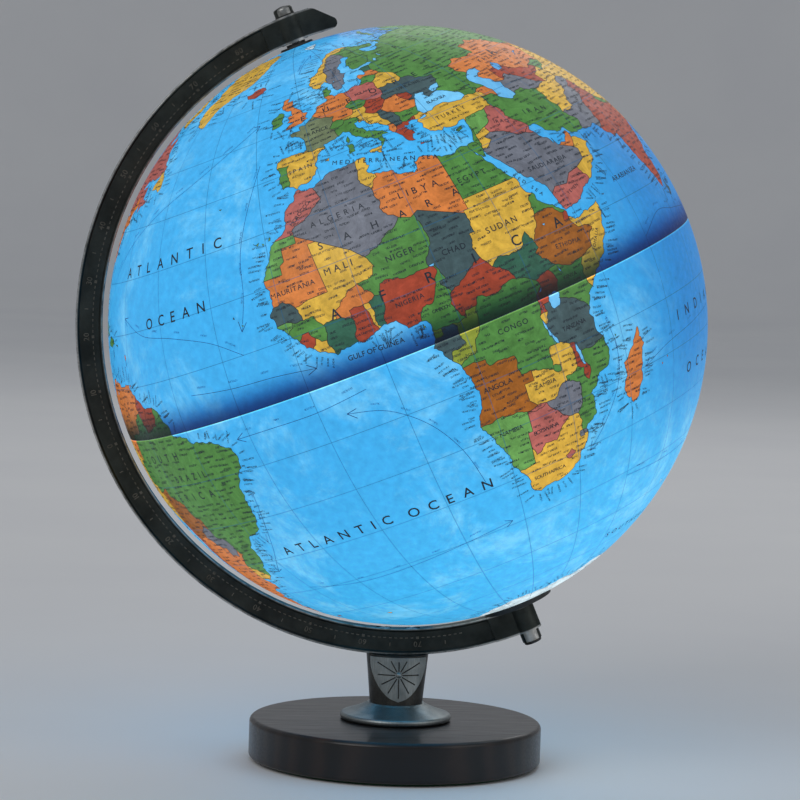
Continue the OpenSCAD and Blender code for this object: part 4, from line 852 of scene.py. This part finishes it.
def shell_lining(low, high):
    """The inner skin and the two cut edges of a hemisphere, as one turned profile."""
    edge = [(low, BALL_R), (low, BALL_R - WALL)]
    skin = [(low + (high - low) * i / 34, BALL_R - WALL) for i in range(1, 34)]
    profile = edge + skin + [(high, BALL_R - WALL), (high, BALL_R)]
    corners, faces = [], []
    columns = [-180 + STEP_DEGREES * i for i in range(TURN_STEPS)]
    for lat, reach in profile:
        corners.extend(on_ball(columns, [lat] * TURN_STEPS, reach - BALL_R))
    for row in range(len(profile) - 1):
        here, after = row * TURN_STEPS, (row + 1) * TURN_STEPS
        for i in range(TURN_STEPS):
            j = (i + 1) % TURN_STEPS
            faces.append((here + i, after + i, after + j, here + j))
    return np.array(corners), faces


def build_hemisphere(name, node, low, high):
    """A printed shell: tinted triangles outside, a plain lining and cut edges inside."""
    places, faces, walls = half_map(low, high)
    tints, land = tint_patches(places, faces, patches(faces, walls))
    used, faces = np.unique(faces, return_inverse=True)
    faces = faces.reshape(-1, 3)
    places = places[used]
    corners = on_ball(places[:, 0], places[:, 1])
    lining, strips = shell_lining(low, high)
    count = len(corners)
    a, b, c = corners[faces[:, 0]], corners[faces[:, 1]], corners[faces[:, 2]]
    outward = (np.cross(b - a, c - a) * ((a + b + c) / 3 - CENTRE)).sum(1) > 0
    faces = np.where(outward[:, None], faces, faces[:, ::-1])
    obj = mesh_object(name, np.vstack([corners, lining]),
                      faces.tolist() + [tuple(count + i for i in strip) for strip in strips],
                      [MATERIALS["map_shell"], SHELL_INSIDE])
    mesh = obj.data
    mesh.polygons.foreach_set("material_index", [0] * len(faces) + [1] * len(strips))
    ink = mesh.attributes.new("ink", "FLOAT_COLOR", "CORNER")
    shade = np.ones((len(mesh.loops), 4), dtype=np.float32)
    shade[:3 * len(faces), :3] = np.repeat(tints, 3, axis=0)
    ink.data.foreach_set("color", shade.ravel())
    flag = mesh.attributes.new("land", "FLOAT", "CORNER")
    level = np.zeros(len(mesh.loops), dtype=np.float32)
    level[:3 * len(faces)] = np.repeat(land, 3)
    flag.data.foreach_set("value", level)
    loops = np.zeros(len(mesh.loops), dtype=np.int64)
    mesh.loops.foreach_get("vertex_index", loops)
    spots = np.vstack([corners, lining])[loops]
    ways = (spots - CENTRE) / np.linalg.norm(spots - CENTRE, axis=1)[:, None]
    ways[3 * len(faces):] *= -1
    first = 3 * len(faces)
    face_way = np.zeros(3 * len(mesh.polygons))
    mesh.polygons.foreach_get("normal", face_way)
    face_way = face_way.reshape(-1, 3)
    # The cut edges keep their own flat normals, so the rims stay crisp.
    for row in (0, len(strips) // TURN_STEPS - 1):
        for i in range(TURN_STEPS):
            number = row * TURN_STEPS + i
            at = first + 4 * number
            ways[at:at + 4] = face_way[len(faces) + number]
    mesh.normals_split_custom_set([tuple(way) for way in ways])
    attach(obj, "ball")
    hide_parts(node)
    return obj


build_hemisphere("map_north", "north_hemisphere", SEAM_LATITUDE, NORTH_LIMIT)
build_hemisphere("map_south", "south_hemisphere", SOUTH_LIMIT, -SEAM_LATITUDE)


# ---------- printed lines and names ----------

class Print:
    """Flat marks that lie just above the ball, gathered into one mesh for each ink."""

    def __init__(self, name, material, lift):
        self.name, self.material, self.lift = name, material, lift
        self.corners, self.faces = [], []

    def ribbon(self, line, width, keep=None, closed=False):
        """A line of that width in mm through longitude,latitude points; keep(lon, lat) drops parts."""
        spots = on_ball([p[0] for p in line], [p[1] for p in line], self.lift * MM)
        out = (spots - CENTRE) / np.linalg.norm(spots - CENTRE, axis=1)[:, None]
        if closed:
            way = np.roll(spots, -1, 0) - np.roll(spots, 1, 0)
        else:
            way = np.gradient(spots, axis=0)
        side = np.cross(out, way)
        side /= np.maximum(np.linalg.norm(side, axis=1), 1e-12)[:, None]
        half = np.asarray(width, dtype=float) * MM / 2
        half = half if half.ndim == 0 else half[:, None]
        first = len(self.corners)
        for left, right in zip(spots + side * half, spots - side * half):
            self.corners.append(left)
            self.corners.append(right)
        count = len(line)
        for i in range(count if closed else count - 1):
            j = (i + 1) % count
            lat = (line[i][1] + line[j][1]) / 2
            lon = (line[i][0] + line[j][0]) / 2
            if not SOUTH_LIMIT + 0.3 < lat < NORTH_LIMIT - 0.3 or abs(lon) > 179.99:
                continue
            if keep and not keep(lon, lat):
                continue
            a, b = first + 2 * i, first + 2 * j
            self.faces.append((a, b, b + 1, a + 1))

    def wrap(self, lon, lat, flat, turn):
        """Flat points in mm about a place, turned by turn degrees from east, laid on the ball."""
        here = on_ball([lon], [lat])[0]
        out = (here - CENTRE) / np.linalg.norm(here - CENTRE)
        east = np.cross(NORTH, out)
        east /= np.linalg.norm(east)
        north = np.cross(out, east)
        c, s = math.cos(math.radians(turn)), math.sin(math.radians(turn))
        x, y = flat[:, :1] * MM, flat[:, 1:] * MM
        arms = here - CENTRE + east * (x * c - y * s) + north * (x * s + y * c)
        first = len(self.corners)
        self.corners.extend(CENTRE + arms / np.linalg.norm(arms, axis=1)[:, None] * (BALL_R + self.lift * MM))
        return first

    def stroke(self, lon, lat, marks, size, turn=0.0, width=0.22):
        """Straight marks, each x0, y0, x1, y1 in units of size mm about a place."""
        marks = np.array(marks, dtype=float) * size
        way = marks[:, 2:] - marks[:, :2]
        side = np.stack([-way[:, 1], way[:, 0]], 1)
        side *= width / 2 / np.linalg.norm(way, axis=1)[:, None]
        start, end = marks[:, :2], marks[:, 2:]
        flat = np.stack([start + side, end + side, end - side, start - side], 1)
        first = self.wrap(lon, lat, flat.reshape(-1, 2), turn)
        self.faces.extend((i, i + 3, i + 2, i + 1) for i in range(first, first + 4 * len(marks), 4))

    def finish(self):
        corners = np.array(self.corners)
        ways = (corners - CENTRE) / np.linalg.norm(corners - CENTRE, axis=1)[:, None]
        faces = np.array([(f[0], f[i], f[i + 1]) for f in self.faces for i in range(1, len(f) - 1)])
        a, b, c = corners[faces[:, 0]], corners[faces[:, 1]], corners[faces[:, 2]]
        outward = (np.cross(b - a, c - a) * ways[faces[:, 0]]).sum(1) > 0
        faces = np.where(outward[:, None], faces, faces[:, ::-1])
        obj = mesh_object(self.name, corners, faces.tolist(), [self.material], ways)
        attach(obj, "ball")
        return obj


def print_lines():
    coasts = Print("printed_coasts", COAST_INK, 0.045)
    for line in COASTS + LAKES:
        coasts.ribbon(line, 0.30, closed=True)
    coasts.finish()
    borders = Print("printed_borders", BORDER_INK, 0.040)
    for line in BORDER_LINES:
        borders.ribbon(line, 0.30, keep=is_land)
    borders.finish()


GLYPHS = ("01234567", "0167", "0123", "2345", "0145", "4567", "0347", "0246")
STROKES = ((0, 0, 0, 1), (0.55, 0, 0.55, 1), (0, 1, 0.55, 1), (0, 0.5, 0.5, 0.5), (0, 0, 0.55, 0),
           (0, 0, 0.55, 1), (0.28, 0, 0.28, 1), (0, 1, 0.5, 0.5))


def scribble(dice, letters, pitch=0.85):
    """Marks that have the look of a printed word, and aren't letters."""
    marks = []
    for i in range(letters):
        x = (i - letters / 2) * pitch
        for number in dice.choice(GLYPHS)[:dice.randint(2, 3)]:
            x0, y0, x1, y1 = STROKES[int(number)]
            marks.append((x + x0, y0 - 0.5, x + x1, y1 - 0.5))
    return marks


# Text, longitude and latitude of its middle, height and whole length in mm, turn from east.
NAMES = (
    ("ATLANTIC", -42.6, 31.5, 5.6, 78, 0), ("OCEAN", -40.7, 20.9, 5.6, 46, 0),
    ("ATLANTIC", -25.9, -28.2, 5.6, 66, 0), ("OCEAN", 1.0, -28.5, 5.6, 43, 0),
    ("INDIAN", 76, -14, 5.6, 66, 0), ("OCEAN", 78, -25, 5.6, 56, 0), ("PACIFIC", -150, 24, 6, 80, 0),
    ("OCEAN", -150, 12, 6, 60, 0), ("PACIFIC", -125, -24, 6, 80, 0), ("OCEAN", -125, -35, 6, 56, 0),
    ("PACIFIC", 163, 27, 5, 52, 0), ("OCEAN", 163, 18, 5, 44, 0), ("ARCTIC", 165, 77, 3.4, 22, 0),
    ("SOUTHERN OCEAN", 70, -57, 3.6, 70, 0), ("ASIA", 92, 49, 6, 92, 0),
    ("AFRICA", 17.4, 11.4, 5.4, 124, 0), ("SAHARA", 10.3, 23.9, 3.9, 72, 0),
    ("EUROPE", 18, 51.5, 3.6, 62, 0), ("NORTH", -100, 54, 4.4, 44, 0), ("AMERICA", -99, 44, 4.4, 60, 0),
    ("SOUTH", -59, -4, 4.4, 40, 0), ("AMERICA", -57, -12.5, 4.4, 56, 0),
    ("AUSTRALIA", 134, -26, 4.2, 66, 0), ("ANTARCTICA", 90, -75, 3.6, 40, 0),
    ("GREENLAND", -41, 74, 2.6, 26, 0), ("GULF OF GUINEA", -0.7, 3.0, 2.6, 28, -2),
    ("ARABIAN SEA", 64, 14, 2.8, 26, 0), ("RED SEA", 38.9, 19.7, 2.0, 17, -60),
    ("BLACK SEA", 34.4, 43.3, 1.9, 11, 0), ("MEDITERRANEAN SEA", 14.9, 35.1, 2.5, 50, -22),
    ("ALGERIA", 0.9, 28.2, 2.9, 27, 0), ("LIBYA", 18, 27.1, 3.5, 20, -3),
    ("EGYPT", 29.2, 25.5, 2.9, 15, -2), ("SUDAN", 29.4, 15.0, 3.2, 17, 0), ("CHAD", 19, 14.3, 3.0, 12, -3),
    ("NIGER", 9.5, 17.1, 3.1, 14, 0), ("MALI", -2.1, 19.0, 3.5, 14, 0),
    ("MAURITANIA", -11.7, 18.2, 2.6, 23, 0), ("NIGERIA", 8, 8.8, 2.4, 14, 0),
    ("ETHIOPIA", 40.3, 7.2, 2.3, 15, -5), ("KENYA", 37.8, 1.8, 1.9, 8, 0),
    ("TANZANIA", 35, -6.6, 2.3, 14, 0), ("ANGOLA", 17.2, -11.2, 2.7, 15, 0),
    ("ZAMBIA", 25.9, -14.4, 2.3, 12, 0), ("NAMIBIA", 17, -20.2, 2.4, 12, 0),
    ("BOTSWANA", 23.9, -22.6, 2.2, 13.5, 0), ("SOUTH AFRICA", 22.8, -31.6, 2.0, 17, 0),
    ("CONGO", 23.5, -2.4, 2.8, 16, 0), ("CAMEROON", 12.6, 5.4, 1.7, 9, 0),
    ("MOROCCO", -6.4, 31.2, 2.1, 14, 38), ("SOMALIA", 46.5, 5.8, 1.8, 12, 48),
    ("SAUDI ARABIA", 46.0, 22.0, 2.5, 25, -3), ("YEMEN", 47.5, 15.7, 1.8, 9, 14),
    ("IRAN", 54, 32.6, 3.0, 15, -10), ("IRAQ", 43.6, 33.2, 2.1, 8, -20), ("TURKEY", 34.6, 39.1, 2.4, 17, 0),
    ("SPAIN", -3.9, 40, 2.4, 12, 0), ("FRANCE", 2.4, 47, 2.3, 12, 0), ("GERMANY", 10.3, 51, 1.7, 9, 0),
    ("POLAND", 19.4, 52.2, 1.8, 9, 0), ("UKRAINE", 31.5, 49.3, 2.0, 13, 0),
    ("SWEDEN", 15.4, 61.5, 1.8, 11, 66), ("ITALY", 12.3, 43.2, 1.5, 8, -45),
    ("INDIA", 78.5, 22.5, 3.4, 20, 0), ("CHINA", 104, 34, 3.8, 40, 0), ("RUSSIA", 70, 62, 3.8, 66, 0),
    ("CANADA", -106, 60, 3.6, 40, 0), ("KAZAKHSTAN", 67, 48, 2.8, 34, 0),
    ("PAKISTAN", 69, 29.7, 2.0, 14, 40), ("UNITED STATES", -98, 38.5, 3.2, 56, 0),
    ("MEXICO", -102.5, 24, 2.4, 18, -20), ("BRAZIL", -51, -8.5, 3.8, 30, 0),
    ("ARGENTINA", -66, -35, 2.4, 24, 72), ("PERU", -75.5, -9.5, 2.4, 12, -40),
    ("MONGOLIA", 104, 46.6, 2.4, 18, 0),
)
NAME_PLACES = np.array([row[1:] for row in NAMES], dtype=float)


def near_name(lon, lat, room=2.6):
    """Whether a place is on or beside one of the large names."""
    across = (lon - NAME_PLACES[:, 0]) * math.cos(math.radians(lat)) * math.radians(1) * BALL_R / MM
    along = (lat - NAME_PLACES[:, 1]) * math.radians(1) * BALL_R / MM
    turn = np.radians(NAME_PLACES[:, 4])
    x = np.abs(across * np.cos(turn) + along * np.sin(turn))
    y = np.abs(along * np.cos(turn) - across * np.sin(turn))
    return bool(((x < NAME_PLACES[:, 3] / 2 + room) & (y < NAME_PLACES[:, 2] / 2 + 0.8)).any())


def print_words():
    """Rows of scribbled town names on land, and of port and island names off the coasts."""
    words = Print("printed_words", NAME_INK, 0.050)
    dice = random.Random(11)
    row_degrees, word_degrees = 1.16, 3.0
    for row in range(-72, 73):
        lat = row * row_degrees + 0.4
        step = word_degrees / math.cos(math.radians(lat))
        if not SOUTH_LIMIT + 2 < lat < NORTH_LIMIT - 2:
            continue
        for column in range(int(360 / step)):
            lon = -179 + step * (column + dice.uniform(0.1, 0.9))
            here = lat + dice.uniform(-0.28, 0.28)
            if lon > 179 or abs(here) < 0.6 or near_name(lon, here):
                continue
            if is_land(lon, here) and dice.random() < 0.92:
                words.stroke(lon, here, scribble(dice, dice.randint(4, 9)), 0.94, dice.uniform(-4, 4), 0.22)
    for ring in COASTS:
        if len(ring) < 12:
            continue
        for i in range(3, len(ring), 2):
            (x0, y0), (x1, y1) = ring[i - 3], ring[i]
            turn = math.degrees(math.atan2(y1 - y0, (x1 - x0) * math.cos(math.radians(y0)))) + 90
            swing = math.radians(turn)
            letters = dice.randint(5, 11)
            reach = 0.7 + letters * 0.15
            for sign in (1, -1):
                lon = x1 + sign * reach * math.cos(swing) / max(0.2, math.cos(math.radians(y1)))
                lat = y1 + sign * reach * math.sin(swing)
                far = 2 * lon - x1, 2 * lat - y1
                if SOUTH_LIMIT + 3 < lat < NORTH_LIMIT - 3 and abs(lat) > 1 and abs(lon) < 179:
                    if near_name(lon, lat):
                        break
                    if not is_land(lon, lat) and not is_land(*far) and dice.random() < 0.95:
                        upright = (turn + 90) % 180 - 90
                        upright *= 0.35 if abs(upright) < 60 else 1.0
                        words.stroke(lon, lat, scribble(dice, letters), 0.80, upright, 0.16)
                        break
    words.finish()


CURRENTS = (
    "-25,10 -32,14 -42,17 -52,19 -60,23", "-70,30 -60,37 -48,42 -35,46 -24,50 -14,54",
    "-14,44 -18,36 -21,28 -22,20 -24,14", "-40,6 -30,5 -20,4.5 -12,3.5", "-5,-3 -15,-4 -25,-4 -33,-4",
    "9,-28 7,-20 3,-13 -3,-8 -10,-6", "-36,-14 -38,-20 -42,-27 -48,-33",
    "-45,-39 -30,-41 -15,-41 0,-40 12,-39", "42,-8 43,-14 42,-20 38,-26 33,-31",
    "85,-16 70,-17 58,-18 50,-20", "60,2 68,5 76,4 86,3", "45,-41 60,-42 76,-42 92,-41",
    "103,-31 98,-26 90,-21", "-95,-2 -110,-3 -126,-4 -142,-4", "-80,-32 -78,-24 -82,-15 -88,-8",
    "-135,42 -128,36 -124,30 -122,23", "160,12 146,13 134,16 127,22", "-150,10 -164,11 -176,12",
    "158,-30 160,-36 166,-40", "-170,-50 -150,-52 -130,-53 -112,-53", "-48,60 -54,66 -60,71",
    "2,66 6,70 12,73",
)


def smooth_line(points, steps=10):
    """A Catmull-Rom line through a few points."""
    ends = [points[0]] + points + [points[-1]]
    line = []
    for i in range(1, len(ends) - 2):
        p = [np.array(ends[i + k], dtype=float) for k in (-1, 0, 1, 2)]
        for t in np.arange(steps) / steps:
            line.append(0.5 * (2 * p[1] + (p[2] - p[0]) * t + (2 * p[0] - 5 * p[1] + 4 * p[2] - p[3]) * t * t
                               + (3 * p[1] - p[0] - 3 * p[2] + p[3]) * t ** 3))
    return [tuple(x) for x in line] + [points[-1]]


def print_currents():
    """Thin curved arrows at sea, with small words along them."""
    currents = Print("printed_currents", CURRENT_INK, 0.050)
    dice = random.Random(5)
    for text in CURRENTS:
        points = [tuple(float(x) for x in word.split(",")) for word in text.split()]
        line = smooth_line(points)
        currents.ribbon(line, 0.24, keep=lambda x, y: not is_land(x, y))
        for i in range(4, len(line) - 4, 7):
            (x0, y0), (x1, y1) = line[i], line[i + 1]
            turn = math.degrees(math.atan2(y1 - y0, (x1 - x0) * math.cos(math.radians(y0))))
            upright = (turn + 90) % 180 - 90
            if not is_land(x0, y0 + 1.3) and not near_name(x0, y0 + 1.3):
                currents.stroke(x0, y0 + 1.3, scribble(dice, dice.randint(5, 9)), 0.85, upright, 0.13)
        tip, back = np.array(points[-1]), np.array(points[-2])
        way = (tip - back) / np.linalg.norm(tip - back)
        side = np.array((-way[1], way[0]))
        for sign in (1, -1):
            barb = tip - way * 1.8 + side * sign * 0.9
            currents.ribbon([tuple(tip), tuple((tip + barb) / 2), tuple(barb)], 0.34)
    currents.finish()


LETTERS = {}


def letter_shape(letter):
    """A flat letter 1 high as (corners, faces), from the built-in font, with its left side at 0."""
    if letter not in LETTERS:
        curve = bpy.data.curves.new("letter", "FONT")
        curve.body = letter
        curve.size = 1.36
        curve.resolution_u = 3
        curve.offset = 0.0 if letter == "M" else 0.012
        holder = bpy.data.objects.new("letter", curve)
        mesh = holder.to_mesh()
        flat = np.array([tuple(v.co)[:2] for v in mesh.vertices])
        faces = [tuple(p.vertices) for p in mesh.polygons]
        holder.to_mesh_clear()
        bpy.data.objects.remove(holder)
        bpy.data.curves.remove(curve)
        flat[:, 0] -= flat[:, 0].min()
        LETTERS[letter] = (flat, faces)
    return LETTERS[letter]


def letter_rows(text, size, spread):
    """Flat letters in a row as (corners, faces), centred, with room between them."""
    pieces, x = [], 0.0
    for letter in text:
        if letter == " ":
            x += size * spread * 0.9
            continue
        shape, faces = letter_shape(letter)
        flat = shape * size
        width = flat[:, 0].max()
        flat[:, 0] += x
        pieces.append((flat, faces))
        x += width + size * spread
    middle = (x - size * spread) / 2
    return [(flat - np.array((middle, size / 2)), faces) for flat, faces in pieces]


def print_names():
    """The widely used names of continents, seas and countries, along the parallels."""
    names = Print("printed_names", NAME_INK, 0.055)
    for text, lon, lat, size, length, turn in NAMES:
        solid = sum(letter_shape(letter)[0][:, 0].max() for letter in text if letter != " ") * size
        gaps = len(text) - 1 + 0.6 * text.count(" ")
        x = -length / 2
        room = (length - solid) / gaps
        for letter in text:
            if letter == " ":
                x += room * 1.6
                continue
            shape, faces = letter_shape(letter)
            flat = shape * size
            width = flat[:, 0].max()
            middle = x + width / 2
            c, s = math.cos(math.radians(turn)), math.sin(math.radians(turn))
            degree = math.degrees(MM / BALL_R)
            rise = lat + middle * s * degree
            swing = lon + middle * c * degree / math.cos(math.radians(rise))
            first = names.wrap(swing, rise, flat - np.array((width / 2, size / 2)), turn)
            names.faces.extend(tuple(first + i for i in face) for face in faces)
            x += width + room
    names.finish()


print_lines()
print_words()
print_currents()
print_names()


# ---------- the arm's scale ----------

def build_scale():
    """Raised dashes each degree and numbers each ten degrees, on both faces of the arm."""
    corners, faces = [], []

    def slab(lat, reach, side, outline):
        """A thin raised piece, its outline in mm along the arm (x) and outwards (y)."""
        rise = math.radians(lat)
        out = NORTH * math.sin(rise) - EAST * math.cos(rise)
        along = NORTH * math.cos(rise) + EAST * math.sin(rise)
        here = CENTRE + out * reach
        for flat, polygons in outline:
            first, count = len(corners), len(flat)
            for level in (-0.05, 0.22):
                for x, y in flat:
                    spot = here + along * x * MM * -side + out * y * MM
                    spot[1] = side * (ARM_FACE + level * MM)
                    corners.append(spot)
            sides = {}
            for polygon in polygons:
                top = tuple(first + count + i for i in polygon)
                bottom = tuple(first + i for i in reversed(polygon))
                faces.append(top if side < 0 else top[::-1])
                faces.append(bottom if side < 0 else bottom[::-1])
                for a, b in zip(polygon, polygon[1:] + polygon[:1]):
                    sides[(a, b)] = sides.get((a, b), 0) + 1
            for a, b in sides:
                if (b, a) not in sides:
                    wall = (first + a, first + b, first + count + b, first + count + a)
                    faces.append(wall if side < 0 else wall[::-1])

    def bar(width, height):
        x, y = width / 2, height / 2
        return [(np.array(((-x, -y), (x, -y), (x, y), (-x, y))), [(0, 1, 2, 3)])]

    for side in (-1, 1):
        for step in range(-78, 83):
            if step % 10 == 0:
                slab(step, NUMBER_REACH, side, letter_rows(str(abs(step)), 2.9, 0.14))
            elif step % 5 == 0:
                slab(step, NUMBER_REACH, side, bar(0.5, 1.8))
            slab(step, DASH_REACH, side, bar(1.4, 0.5 if step % 10 else 1.3))
    obj = mesh_object("arm_scale", corners, faces, [SCALE_METAL])
    obj.data.polygons.foreach_set("use_smooth", [False] * len(obj.data.polygons))
    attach(obj, "stand")


build_scale()


# ---------- studio ----------

def build_stage():
    """A pale floor that sweeps up into a low wall all round."""
    surface = Surface("pale_floor", Roughness=0.7, Specular_IOR_Level=0.25)
    surface.link(surface.ramp(surface.noise(3, 3), (0.3, (0.79, 0.79, 0.80)), (0.7, (0.83, 0.83, 0.83))),
                 "Base Color")
    profile = [(0.0, 0.0), (1.5, 0.0), (4.5, 0.0)]
    for i in range(1, 13):
        turn = math.radians(7.5 * i)
        profile.append((4.5 + 1.2 * math.sin(turn), 1.2 - 1.2 * math.cos(turn)))
    profile.append((5.7, 2.0))
    steps = 96
    corners, faces = [], []
    for reach, height in profile[1:]:
        for i in range(steps):
            turn = math.tau * i / steps
            corners.append((reach * math.cos(turn), reach * math.sin(turn), height))
    faces.append(tuple(range(steps)))
    for row in range(len(profile) - 2):
        for i in range(steps):
            j = (i + 1) % steps
            faces.append((row * steps + i, (row + 1) * steps + i, (row + 1) * steps + j, row * steps + j))
    mesh_object("floor", corners, faces, [surface.material])
    world = bpy.data.worlds.new("soft_room")
    world.use_nodes = True
    world.node_tree.nodes["Background"].inputs["Color"].default_value = (0.90, 0.94, 1.0, 1)
    world.node_tree.nodes["Background"].inputs["Strength"].default_value = 0.35
    bpy.context.scene.world = world


def area_light(name, place, target, size, power, tint=(1, 1, 1)):
    light = bpy.data.lights.new(name, "AREA")
    light.shape = "RECTANGLE"
    light.size, light.size_y = size
    light.energy = power
    light.color = tint
    obj = bpy.data.objects.new(name, light)
    obj.location = place
    obj.rotation_euler = (Vector(target) - Vector(place)).to_track_quat("-Z", "Y").to_euler()
    bpy.context.scene.collection.objects.link(obj)


def build_camera():
    azimuth, elevation, roll = math.radians(-4.717), math.radians(4.305), math.radians(1.83)
    target = Vector((-2.836, 0, 186.46)) * MM
    distance = 1.8
    out = Vector((math.sin(azimuth) * math.cos(elevation), -math.cos(azimuth) * math.cos(elevation),
                  math.sin(elevation)))
    right = Vector((math.cos(azimuth), math.sin(azimuth), 0))
    up = out.cross(right)
    across = right * math.cos(roll) + up * math.sin(roll)
    upward = up * math.cos(roll) - right * math.sin(roll)
    camera = bpy.data.cameras.new("camera")
    camera.lens = 158.6
    camera.sensor_width = 36
    camera.clip_start = 0.05
    obj = bpy.data.objects.new("camera", camera)
    columns = ((*across, 0), (*upward, 0), (*out, 0), (*(target + out * distance), 1))
    obj.matrix_world = Matrix(columns).transposed()
    bpy.context.scene.collection.objects.link(obj)
    bpy.context.scene.camera = obj


bpy.context.scene.view_settings.view_transform = "Standard"
build_stage()
area_light("key", (-1.5, -1.9, 1.7), (0, 0, 0.2), (1.6, 1.6), 17)
area_light("fill", (2.0, -1.4, 1.0), (0, 0, 0.15), (1.6, 1.6), 6)
area_light("rim", (0.6, 2.0, 1.6), (0, 0, 0.2), (1.8, 1.0), 7)
build_camera()
